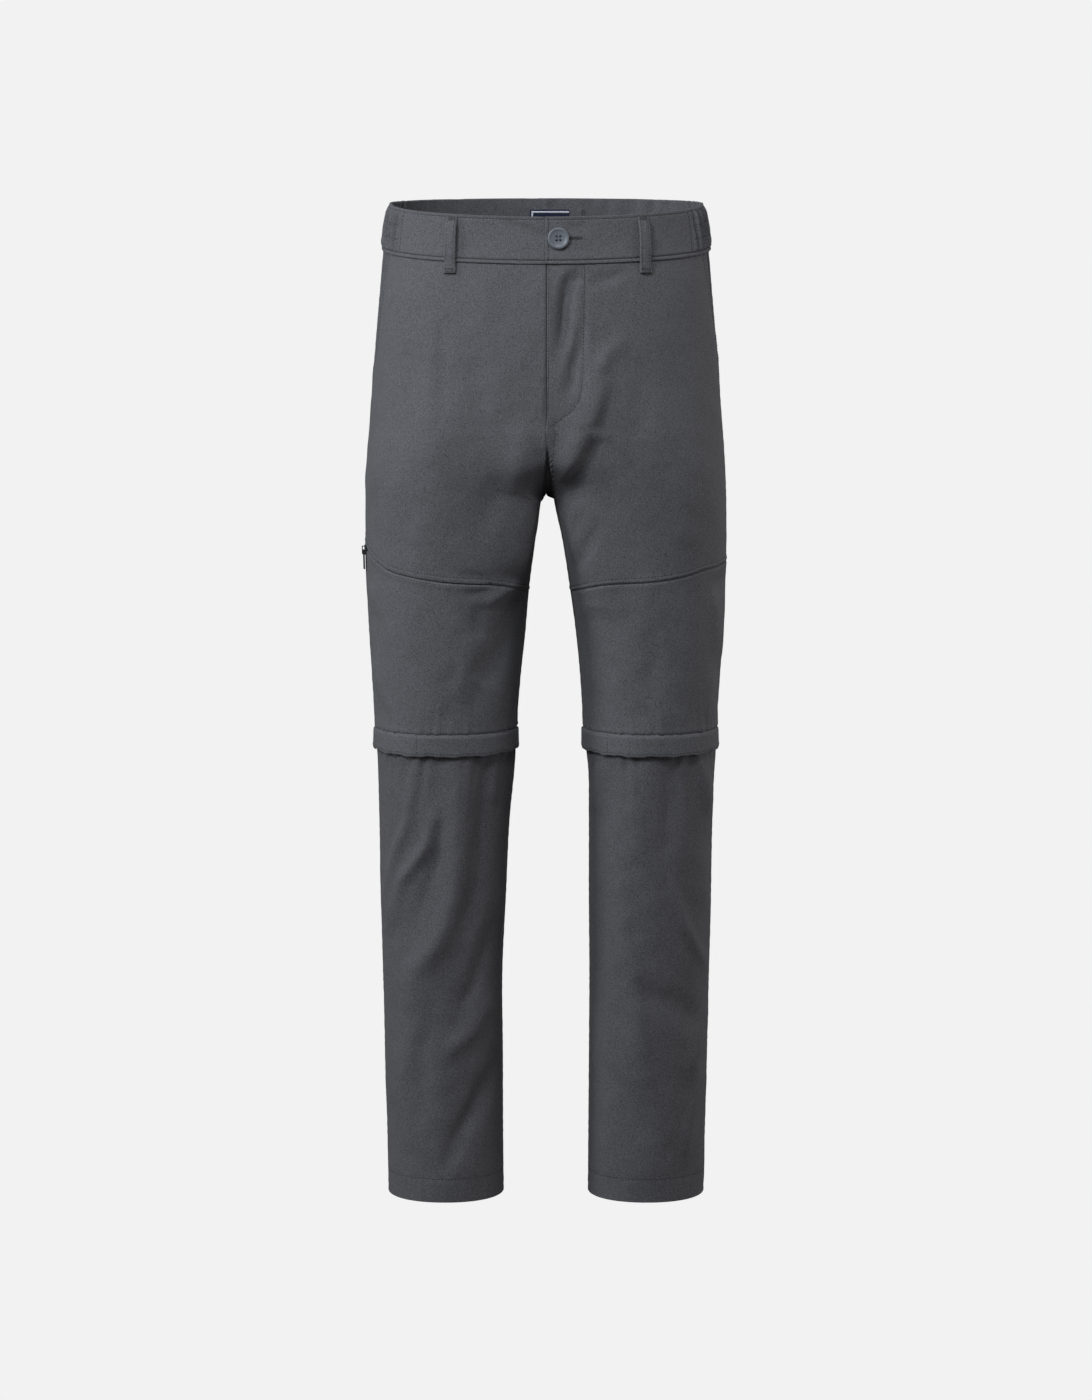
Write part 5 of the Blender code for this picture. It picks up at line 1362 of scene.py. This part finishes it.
class TROUSERS_OT_waistband(bpy.types.Operator):
    """Makes the waistband: two fronts that lap at the fly, the gathered sides and the back"""

    bl_idname = "trousers.waistband"
    bl_label = "Waistband"

    def execute(self, context):
        sizes = context.scene.trouser_sizes
        lines = self.make_fronts(sizes) + self.make_elastic(sizes) + self.make_back(sizes)
        dashes("stitches_waistband", lines, sizes, thread())
        return {"FINISHED"}

    @staticmethod
    def make_fronts(sizes):
        lines = []
        for side in SIGN:
            share = shares_at(upper_face, side, "front", 0.0, sizes.step, 0.0, elastic_edge("front"))[None, :]
            cloth = band_cloth(side, "front", share)
            step = 0.0012 if side == "left" else -0.0008
            cloth.lift = cloth.lift + step * np.exp(-cloth.to["inner"] / 0.014)
            for path, left_width, right_width, lift in BAND_DRAGS:
                cloth.lift = cloth.lift + path_lift(cloth.base[..., ::2], path, left_width, right_width, lift)
            cloth.add_groove("outer", BAND_END_STITCH, depth=0.0010)
            if side == "left":
                cloth.add_groove("inner", LAP_STITCH, depth=0.0003)
            outer = drawn_in(cloth.points(), SIDE_EDGES)
            inner = drawn_in(band_inside(cloth, sizes), SIDE_EDGES)
            if side == "right":
                under = band_cloth("left", "front", np.linspace(0.13, 0.004, 22)[None, :])
                behind = sizes.band_cloth + SEAM + 0.0002 - BAND_PROUD
                lap_outer = under.base - under.out * behind
                lap_inner = under.base - under.out * (behind + sizes.band_cloth)
                outer = np.concatenate([lap_outer, outer[:, 2:]], axis=1)
                inner = np.concatenate([lap_inner, inner[:, 2:]], axis=1)
            name = "waistband_front_" + side
            piece = wall("cloth_" + name, outer, inner, upper_cloth(), thickness=sizes.band_cloth)
            sew_in(piece, name, outer)
            MADE[name] = cloth
            lines += [cloth.edge_line(edge, away, 0.01, 0.99) for edge, away in BAND_STITCHES]
            lines.append(cloth.edge_line("outer", BAND_END_STITCH, 0.10, 0.92))
            if side == "left":
                lines.append(cloth.edge_line("inner", LAP_STITCH, 0.10, 0.92))
        return lines

    @staticmethod
    def make_elastic(sizes):
        """The sides: cloth gathered on elastic into uneven upright ribs."""
        lines = []
        for side in SIGN:
            grids = []
            front_share = np.linspace(elastic_edge("front"), 1.0, 34, endpoint=False)
            back_share = np.linspace(1.0, elastic_edge("back"), 48)
            start = 0.0
            for half, share in (("front", front_share), ("back", back_share)):
                cloth = band_cloth(side, half, share[None, :])
                along = start + cloth.across
                start = start + cloth.across[:, -1:].mean() + 0.0025
                sewn = smoothstep(0.0, 0.010, np.minimum(cloth.to["top"], cloth.to["bottom"]))
                phase = 2 * math.pi * along / RIB_PITCH
                slant = 0.6 * np.sin(6 * BAND_FRACTIONS + phase * 0.05)
                rib = np.sin(phase + 0.9 * np.sin(0.31 * phase) + slant)
                held = smoothstep(0.0, 0.006, along) * smoothstep(0.0, 0.006, 0.112 - along)
                first_rib = 0.0014 * bump(along - 0.007, 0.004)
                rib_lift = (RIB_HEIGHT * rib * held + first_rib) * (0.25 + 0.75 * sewn)
                cloth.lift = cloth.lift + rib_lift
                grids.append((cloth.points(), band_inside(cloth, sizes, -0.8 * rib_lift)))
                rows = (*BAND_STITCHES, ("top", ELASTIC_STITCH), ("bottom", ELASTIC_STITCH))
                lines += [cloth.edge_line(edge, away) for edge, away in rows]
            outer, inner = (drawn_in(np.concatenate(pair, axis=1), SIDE_EDGES) for pair in zip(*grids))
            name = "waistband_elastic_" + side
            piece = wall("cloth_" + name, outer, inner, upper_cloth(), thickness=sizes.band_cloth)
            sew_in(piece, name, outer, ease=GATHER_EASE)
        return lines

    @staticmethod
    def make_back(sizes):
        share = shares_at(upper_face, "left", "back", 0.0, sizes.step, 0.0, elastic_edge("back"))[None, :]
        grids, lines = [], []
        for side in ("right", "left"):
            cloth = band_cloth(side, "back", share)
            cloth.add_groove("outer", BAND_END_STITCH, depth=0.0004)
            order = slice(None, 0, -1) if side == "right" else slice(1, None)
            creases = ripple(cloth.across, 0.3 * cloth.to["top"], *BAND_CREASE, lean=0.9)
            grids.append((cloth.points()[:, order], band_inside(cloth, sizes, creases)[:, order]))
            lines += [cloth.edge_line(edge, away, 0.0, 0.99) for edge, away in BAND_STITCHES]
            lines.append(cloth.edge_line("outer", BAND_END_STITCH, 0.10, 0.92))
        outer, inner = (drawn_in(np.concatenate(pair, axis=1), SIDE_EDGES) for pair in zip(*grids))
        piece = wall("cloth_waistband_back", outer, inner, upper_cloth(), thickness=sizes.band_cloth)
        sew_in(piece, "waistband_back", outer)
        return lines


class TROUSERS_OT_belt_loops(bpy.types.Operator):
    """Makes the belt loops, each a folded strip with two rows of stitches and a bar tack at both ends"""

    bl_idname = "trousers.belt_loops"
    bl_label = "Belt loops"

    def execute(self, context):
        sizes = context.scene.trouser_sizes
        lines, tacks = [], []
        for name, side, half, from_middle, lean in BELT_LOOPS:
            share = float(share_at(half, from_middle))
            top = float(band_top(half, share)) - LOOP_BELOW_TOP
            bottom = float(band_bottom(half, share)) - LOOP_BELOW_SEAM
            fractions = np.linspace(0, 1, 41)
            stand_off = smooth_curve(*zip(*LOOP_SHAPE))(fractions) * LOOP_STAND_OFF
            folded_end = 0.0008 * smoothstep(0.80, 0.90, fractions)
            z = (top + fractions * (bottom - top))[:, None]
            across = np.linspace(-1, 1, 13)[None, :]
            wander_x = lean * (fractions[:, None] - 0.3) + 0.0003 * np.sin(7 * fractions)[:, None]
            half_width = LOOP_WIDTH / 2 * (1 + 0.10 * smoothstep(0.84, 0.92, fractions[:, None]))
            away = np.abs(from_middle + across * half_width + wander_x)
            u = np.array([share_at(half, away[i], z[i, 0]) for i in range(len(z))])
            crown = 0.00075 * (1 - across**6) - 0.0005 * bump(np.abs(across) - 0.62, 0.10)
            seated = BAND_PROUD + SEAM + 0.0001
            grids = []
            top_lift = (stand_off + folded_end)[:, None] + LOOP_CLOTH + crown
            for lift in (top_lift, stand_off[:, None] + 0 * across):
                zz = z + 0 * u
                base = upper_face(side, half, u, zz)
                out = normals(upper_face, side, half, np.maximum(u, 0.002), zz)
                if from_middle == 0.0:
                    mirrored = across[0] < 0
                    base[:, mirrored, 0] *= -1
                    out[:, mirrored, 0] *= -1
                grids.append((base + out * (seated + lift)[..., None], out))
            outer, out = grids[0]
            piece = wall("cloth_" + name, outer, grids[1][0], upper_cloth(), thickness=LOOP_CLOTH)
            sew_in(piece, name, outer)
            for column in (2, 10):
                lines.append([(outer[i, column], out[i, column]) for i in range(2, 39)])
            for row in (1, 38):
                raised = out[row] * 0.0001
                for i in range(row - 1, row + 2):
                    tacks.append([(outer[i, j] + raised[j], out[row, j]) for j in range(1, 12)])
        dashes("stitches_belt_loops", lines, sizes, thread())
        dashes("bar_tacks_belt_loops", tacks, sizes, thread(), dash=0.0016, pitch=0.0017, width=0.0008)
        return {"FINISHED"}


class TROUSERS_OT_pocket_linings(bpy.types.Operator):
    """Makes the facings seen inside the hip pocket mouths, and the strip behind the fly"""

    bl_idname = "trousers.pocket_linings"
    bl_label = "Pocket facings and fly shield"

    def execute(self, context):
        sizes = context.scene.trouser_sizes
        behind = sizes.cloth + SEAM + 0.0004
        for side in SIGN:
            front_share = np.linspace(0.70, 1.0, 26)[None, :]
            drop = np.linspace(0, 1, 44)[:, None] * (-0.196 - band_bottom("front", 1.0))
            z = drop + band_bottom("front", front_share) - SEAM
            front = Cloth(upper_face, side, "front", front_share, z)
            front.add_folds(sizes.fold_lift)
            back_share = np.array([[0.98, 0.95, 0.917]])
            back = Cloth(upper_face, side, "back", back_share, z[:, -1:] + 0 * back_share)
            outer = np.concatenate([front.points(behind), back.points(behind)], axis=1)
            inside = behind + FACING_CLOTH
            inner = np.concatenate([front.points(inside), back.points(inside)], axis=1)
            piece = wall("cloth_pocket_facing_" + side, outer, inner, upper_cloth(), thickness=FACING_CLOTH)
            sew_in(piece, "pocket_facing_" + side, outer)
        grids = []
        deep = sizes.cloth + SEAM + 0.0013
        for side, shares in (("right", np.linspace(0.08, 0.004, 6)), ("left", np.linspace(0.004, 0.160, 14))):
            z = np.linspace(band_bottom("front", 0.0) - 0.0006, -0.216, 40)[:, None] + 0 * shares[None, :]
            strip = Cloth(upper_face, side, "front", shares[None, :], z)
            strip.add_folds(sizes.fold_lift)
            grids.append((strip.points(deep), strip.points(deep + sizes.cloth)))
        outer, inner = (np.concatenate(pair, axis=1) for pair in zip(*grids))
        piece = wall("cloth_fly_shield", outer, inner, upper_cloth())
        sew_in(piece, "fly_shield", outer)
        return {"FINISHED"}


class TROUSERS_OT_thigh_zip(bpy.types.Operator):
    """Makes the thigh pocket's zip: its tape and coil in the groove, and the painted slider and pull"""

    bl_idname = "trousers.thigh_zip"
    bl_label = "Thigh zip"

    def execute(self, context):
        sizes = context.scene.trouser_sizes
        colours = context.scene.trouser_colours
        share = np.linspace(ZIP_INNER_END - 0.02, 0.995, 70)[None, :]
        z = THIGH_SEAM_AT["right"](share) - np.linspace(-0.012, 0.012, 9)[:, None]
        cloth = Cloth(upper_face, "right", "front", share, z)
        cloth.add_folds(sizes.fold_lift)
        behind = sizes.cloth + SEAM + 0.0005
        outer, inner = cloth.points(behind), cloth.points(behind + THIGH_TAPE)
        tape = knitted_tape("knitted_polyester_tape", tuple(colours.tape))
        piece = wall("tape_thigh_zip", outer, inner, tape, thickness=THIGH_TAPE)
        sew_in(piece, "thigh_zip_tape", outer)
        coil = moulded_plastic("moulded_nylon_coil", tuple(colours.coil), 0.45)
        line = [(outer[4, j], cloth.out[4, j]) for j in range(outer.shape[1])]
        name = "coil_thigh_zip"
        teeth = dashes(name, [line], sizes, coil, COIL_TURN, COIL_PITCH, width=0.0040, height=0.0009)
        self.tack(sizes)
        paint = painted_zinc("painted_cast_zinc", tuple(colours.zip_paint))
        for name in ("thigh_zip_slider", "thigh_zip_pull"):
            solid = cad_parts[name]
            solid.material_slots[0].material = paint
        return {"FINISHED"}

    @staticmethod
    def tack(sizes):
        """A bar tack across the zip's inner end, on the cloth of the front."""
        front = MADE["front_right"]
        rows, columns = front.share.shape
        column = float(np.interp(ZIP_INNER_END, front.share[-1], np.arange(columns)))
        lines = []
        for shift in (-0.35, 0.0, 0.35):
            lines.append([front.at(rows - 1 - r, column + shift, 0.0001) for r in np.linspace(4.0, 0.2, 6)])
        dashes("bar_tack_thigh_zip", lines, sizes, thread(), dash=0.0014, pitch=0.0015, width=0.0007)


class TROUSERS_OT_button(bpy.types.Operator):
    """Makes the four-hole button with its thread, and the worked buttonhole beside it"""

    bl_idname = "trousers.button"
    bl_label = "Button and buttonhole"

    def execute(self, context):
        sizes = context.scene.trouser_sizes
        colours = context.scene.trouser_colours
        place = self.placement()
        button = self.make_button(moulded_plastic("moulded_polyester_button", tuple(colours.button), 0.40))
        button.matrix_world = place
        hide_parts("button")
        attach(button, "trousers")
        self.make_button_thread(place, colours)
        self.make_buttonhole(sizes, colours)
        return {"FINISHED"}

    @staticmethod
    def make_buttonhole(sizes, colours):
        """Stitches side by side along both edges of the slit and fanned round its outer end, and the slit
        itself as a dark row: painted shade.
        """
        band = MADE["waistband_front_left"]
        first, last = BUTTON_HOLE_X
        middle = BUTTON_Z + 0.0007
        ends = []
        for side in (-1, 1):
            z = middle + side * 0.0003
            ends += [((x, z), (x, z + side * 0.0016)) for x in np.arange(first, last, 0.00055)]
        for turn in np.linspace(-75, 75, 7):
            across, up = math.cos(math.radians(turn)), math.sin(math.radians(turn))
            ends.append([(last + reach * across, middle + reach * up) for reach in (0.0005, 0.0022)])
        edges = [[band.at(*band.spot(*end)) for end in pair] for pair in ends]
        dashes("buttonhole_stitches", edges, sizes, thread(), 0.0013, 0.0005, width=0.0005, height=0.00035)
        # The slit is a row of dashes in thread darkened to a quarter: painted shade where the cloth is cut
        # open.
        slit = band.drawn_line([(first - 0.001, middle), (last, middle)])
        slit_shade = spun_thread("painted_shade_buttonhole_slit", tuple(v * 0.25 for v in colours.thread))
        dashes("buttonhole_slit_painted_shade", [slit], sizes, slit_shade, 0.0030, 0.0029, width=0.0008, height=0.0004)

    @staticmethod
    def placement():
        """Where the button sits on the waistband: its Z axis points outward."""
        share = share_at("front", np.array([BUTTON_X]))
        point = Vector(upper_face("left", "front", share, np.array([BUTTON_Z]))[0])
        out = Vector(normals(upper_face, "left", "front", share, np.array([BUTTON_Z]))[0])
        fall = Vector((0, 0, -1))
        down = (fall - out * out.dot(fall)).normalized()
        turned = Matrix((down, out.cross(down).normalized(), out)).transposed().to_4x4()
        return Matrix.Translation(point + out * (BAND_PROUD + SEAM + 0.0005)) @ turned

    @staticmethod
    def make_button(material):
        """A lathe-turned form with a raised rim, a dished face and four holes."""
        work = bmesh.new()
        spots = [work.verts.new((r * BUTTON_RADIUS, 0, h * BUTTON_HEIGHT)) for r, h in BUTTON_PROFILE]
        edges = [work.edges.new(pair) for pair in zip(spots, spots[1:])]
        bmesh.ops.spin(work, geom=spots + edges, axis=(0, 0, 1), cent=(0, 0, 0), steps=72, angle=2 * math.pi)
        bmesh.ops.remove_doubles(work, verts=work.verts, dist=1e-6)
        bmesh.ops.recalc_face_normals(work, faces=work.faces)
        button = make_object("moulded_button", mesh_from("moulded_button", work), material, angle=35)
        spacing = BUTTON_HOLE_APART / 2
        cutter_work = bmesh.new()
        for x, y in ((1, 1), (1, -1), (-1, 1), (-1, -1)):
            made = bmesh.ops.create_cone(
                cutter_work, cap_ends=True, segments=20, radius1=BUTTON_HOLE, radius2=BUTTON_HOLE, depth=0.02
            )
            bmesh.ops.translate(cutter_work, vec=(x * spacing, y * spacing, 0), verts=made["verts"])
        cutter = bpy.data.objects.new("button_holes", mesh_from("button_holes", cutter_work))
        bpy.context.scene.collection.objects.link(cutter)
        cut = button.modifiers.new("holes", "BOOLEAN")
        cut.operation = "DIFFERENCE"
        cut.object = cutter
        cut.solver = "EXACT"
        depsgraph = bpy.context.evaluated_depsgraph_get()
        finished = bpy.data.meshes.new_from_object(button.evaluated_get(depsgraph))
        button.modifiers.clear()
        button.data = finished
        bpy.data.objects.remove(cutter)
        return button

    @staticmethod
    def make_button_thread(place, colours):
        """Strands that cross from hole to hole over the dished face."""
        curve = bpy.data.curves.new("button_thread", "CURVE")
        curve.dimensions = "3D"
        curve.bevel_depth = 0.00012
        curve.bevel_resolution = 3
        curve.use_fill_caps = True
        reach = BUTTON_HOLE_APART / 2
        for row in (-1, 1):
            for shift in (-0.00014, 0.00014):
                spline = curve.splines.new("BEZIER")
                spots = [(-1.0, 0.0006), (-0.8, 0.0024), (0.0, 0.0027), (0.8, 0.0024), (1.0, 0.0006)]
                spline.bezier_points.add(len(spots) - 1)
                for point, (x, h) in zip(spline.bezier_points, spots):
                    point.co = (x * reach, row * reach + shift, h)
                    point.handle_left_type = point.handle_right_type = "AUTO"
        strands = bpy.data.objects.new("button_thread", curve)
        bpy.context.scene.collection.objects.link(strands)
        strands.data.materials.append(spun_thread("spun_button_thread", tuple(colours.button)))
        strands.matrix_world = place
        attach(strands, "trousers")


class TROUSERS_OT_label(bpy.types.Operator):
    """Makes the plain woven label inside the back waistband, with its pale border"""

    bl_idname = "trousers.label"
    bl_label = "Label"

    def execute(self, context):
        colours = context.scene.trouser_colours
        ground = woven_nylon("woven_satin_label", tuple(colours.label), yarn_mm=0.6, heather=0.12)
        edging = woven_nylon("woven_satin_label_edge", tuple(colours.label_edge), yarn_mm=0.6, heather=0.12)
        clear = context.scene.trouser_sizes.band_cloth - BAND_PROUD + SEAM + 0.0004
        outer, inner = self.sheet(clear), self.sheet(clear + LABEL_CLOTH)
        piece = wall("woven_label", outer, inner, upper_cloth(), thickness=LABEL_CLOTH)
        sew_in(piece, "label", outer)
        self.facing("label_ground", self.sheet(clear + 0.0008), ground, 0, math.inf)
        self.facing("label_border", self.sheet(clear + 0.0010), edging, *LABEL_BORDER)
        return {"FINISHED"}

    @staticmethod
    def facing(name, grid, material, nearest, farthest):
        """A woven face on part of the label: the cells between two counts of steps in from three edges."""
        rows, columns = grid.shape[:2]
        faces = []
        for i in range(rows - 1):
            for j in range(int(LABEL_FACE * columns)):
                if nearest <= min(i, rows - 2 - i, j) < farthest:
                    a = i * columns + j
                    faces.append((a, a + columns, a + columns + 1, a + 1))
        used = sorted({v for face in faces for v in face})
        index = {v: k for k, v in enumerate(used)}
        points = grid.reshape(-1, 3)
        mesh = bpy.data.meshes.new(name)
        faces = [tuple(index[v] for v in face) for face in faces]
        mesh.from_pydata([tuple(points[v]) for v in used], [], faces)
        piece = make_object(name, mesh, material)
        thick = piece.modifiers.new("thickness", "SOLIDIFY")
        thick.thickness = 0.00015
        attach(piece, "trousers")

    @staticmethod
    def sheet(inward):
        """A grid of points inside the back waistband, from the label's right end to its left end."""
        z = np.linspace(LABEL_TOP, LABEL_TOP - LABEL_HEIGHT, 31)[:, None]
        parts = []
        right = np.linspace(LABEL_REACH["right"], 0.0005, 19)
        left = np.linspace(0.0005, LABEL_REACH["left"], 40)
        for side, distances in (("right", right), ("left", left)):
            share = share_at("back", distances)[None, :] + 0 * z
            base = upper_face(side, "back", share, z + 0 * share)
            out = normals(upper_face, side, "back", share, z + 0 * share)
            parts.append(base - out * inward)
        return np.concatenate(parts, axis=1)


class TROUSERS_OT_studio(bpy.types.Operator):
    """Makes the plain studio: a pale floor and backdrop, soft lights and the camera"""

    bl_idname = "trousers.studio"
    bl_label = "Studio"

    def execute(self, context):
        paper = glowing_paper("lit_background_paper", tuple(context.scene.trouser_colours.backdrop))
        for name, mesh in (("studio_floor", self.floor()), ("studio_backdrop", self.dome())):
            thing = make_object(name, mesh, paper)
            thing.visible_diffuse = False
            thing.visible_glossy = False
            thing.visible_transmission = False
            thing.visible_shadow = False
        world = bpy.data.worlds.get("studio_air") or bpy.data.worlds.new("studio_air")
        world.use_nodes = True
        ground = world.node_tree.nodes["Background"]
        ground.inputs["Color"].default_value = (*WARM, 1.0)
        ground.inputs["Strength"].default_value = AIR_STRENGTH
        context.scene.world = world
        for name, place, aim, size, power, tint in LIGHTS:
            self.light(name, place, aim, size, power, tint)
        self.camera(context)
        context.scene.view_settings.view_transform = "Standard"
        return {"FINISHED"}

    @staticmethod
    def floor():
        work = bmesh.new()
        bmesh.ops.create_circle(work, cap_ends=True, radius=DOME_RADIUS * 0.98, segments=96)
        bmesh.ops.translate(work, vec=(0, 0, FLOOR_LEVEL), verts=work.verts)
        return mesh_from("studio_floor", work)

    @staticmethod
    def dome():
        work = bmesh.new()
        bmesh.ops.create_icosphere(work, subdivisions=4, radius=DOME_RADIUS)
        return mesh_from("studio_backdrop", work)

    @staticmethod
    def light(name, place, aim, size, power, tint):
        lamp = bpy.data.lights.new(name, "AREA")
        lamp.shape = "RECTANGLE"
        lamp.size, lamp.size_y = size
        lamp.energy = power
        lamp.color = tint
        thing = bpy.data.objects.new(name, lamp)
        bpy.context.scene.collection.objects.link(thing)
        thing.location = place
        thing.rotation_euler = (Vector(aim) - Vector(place)).to_track_quat("-Z", "Y").to_euler()

    @staticmethod
    def camera(context):
        made = bpy.data.cameras.new("camera")
        made.lens = CAMERA_LENS_MM
        made.sensor_width = 36.0
        thing = bpy.data.objects.new("camera", made)
        context.scene.collection.objects.link(thing)
        thing.location = CAMERA_PLACE
        way = Vector(CAMERA_AIM) - Vector(CAMERA_PLACE)
        thing.rotation_euler = way.to_track_quat("-Z", "Y").to_euler()
        context.scene.camera = thing


STEPS = (
    TROUSERS_OT_fronts, TROUSERS_OT_thighs, TROUSERS_OT_backs, TROUSERS_OT_lower_legs, TROUSERS_OT_knees,
    TROUSERS_OT_waistband, TROUSERS_OT_belt_loops, TROUSERS_OT_pocket_linings, TROUSERS_OT_thigh_zip,
    TROUSERS_OT_button, TROUSERS_OT_label, TROUSERS_OT_studio,
)


class TROUSERS_PT_panel(bpy.types.Panel):
    """Lists the steps that build the trousers, and their sizes and colours"""

    bl_idname = "TROUSERS_PT_panel"
    bl_label = "Zip-off Trousers"
    bl_space_type = "VIEW_3D"
    bl_region_type = "UI"
    bl_category = "Trousers"

    def draw(self, context):
        for step in STEPS:
            self.layout.operator(step.bl_idname)
        for group in (context.scene.trouser_sizes, context.scene.trouser_colours):
            box = self.layout.box()
            for name in group.__annotations__:
                box.prop(group, name)


CLASSES = (TrouserSizes, TrouserColours, *STEPS, TROUSERS_PT_panel)


def register():
    for item in CLASSES:
        bpy.utils.register_class(item)
    bpy.types.Scene.trouser_sizes = PointerProperty(type=TrouserSizes)
    bpy.types.Scene.trouser_colours = PointerProperty(type=TrouserColours)


def unregister():
    del bpy.types.Scene.trouser_colours
    del bpy.types.Scene.trouser_sizes
    for item in reversed(CLASSES):
        bpy.utils.unregister_class(item)


def main():
    register()
    for step in STEPS:
        group, name = step.bl_idname.split(".")
        getattr(getattr(bpy.ops, group), name)()


if __name__ == "__main__":
    main()
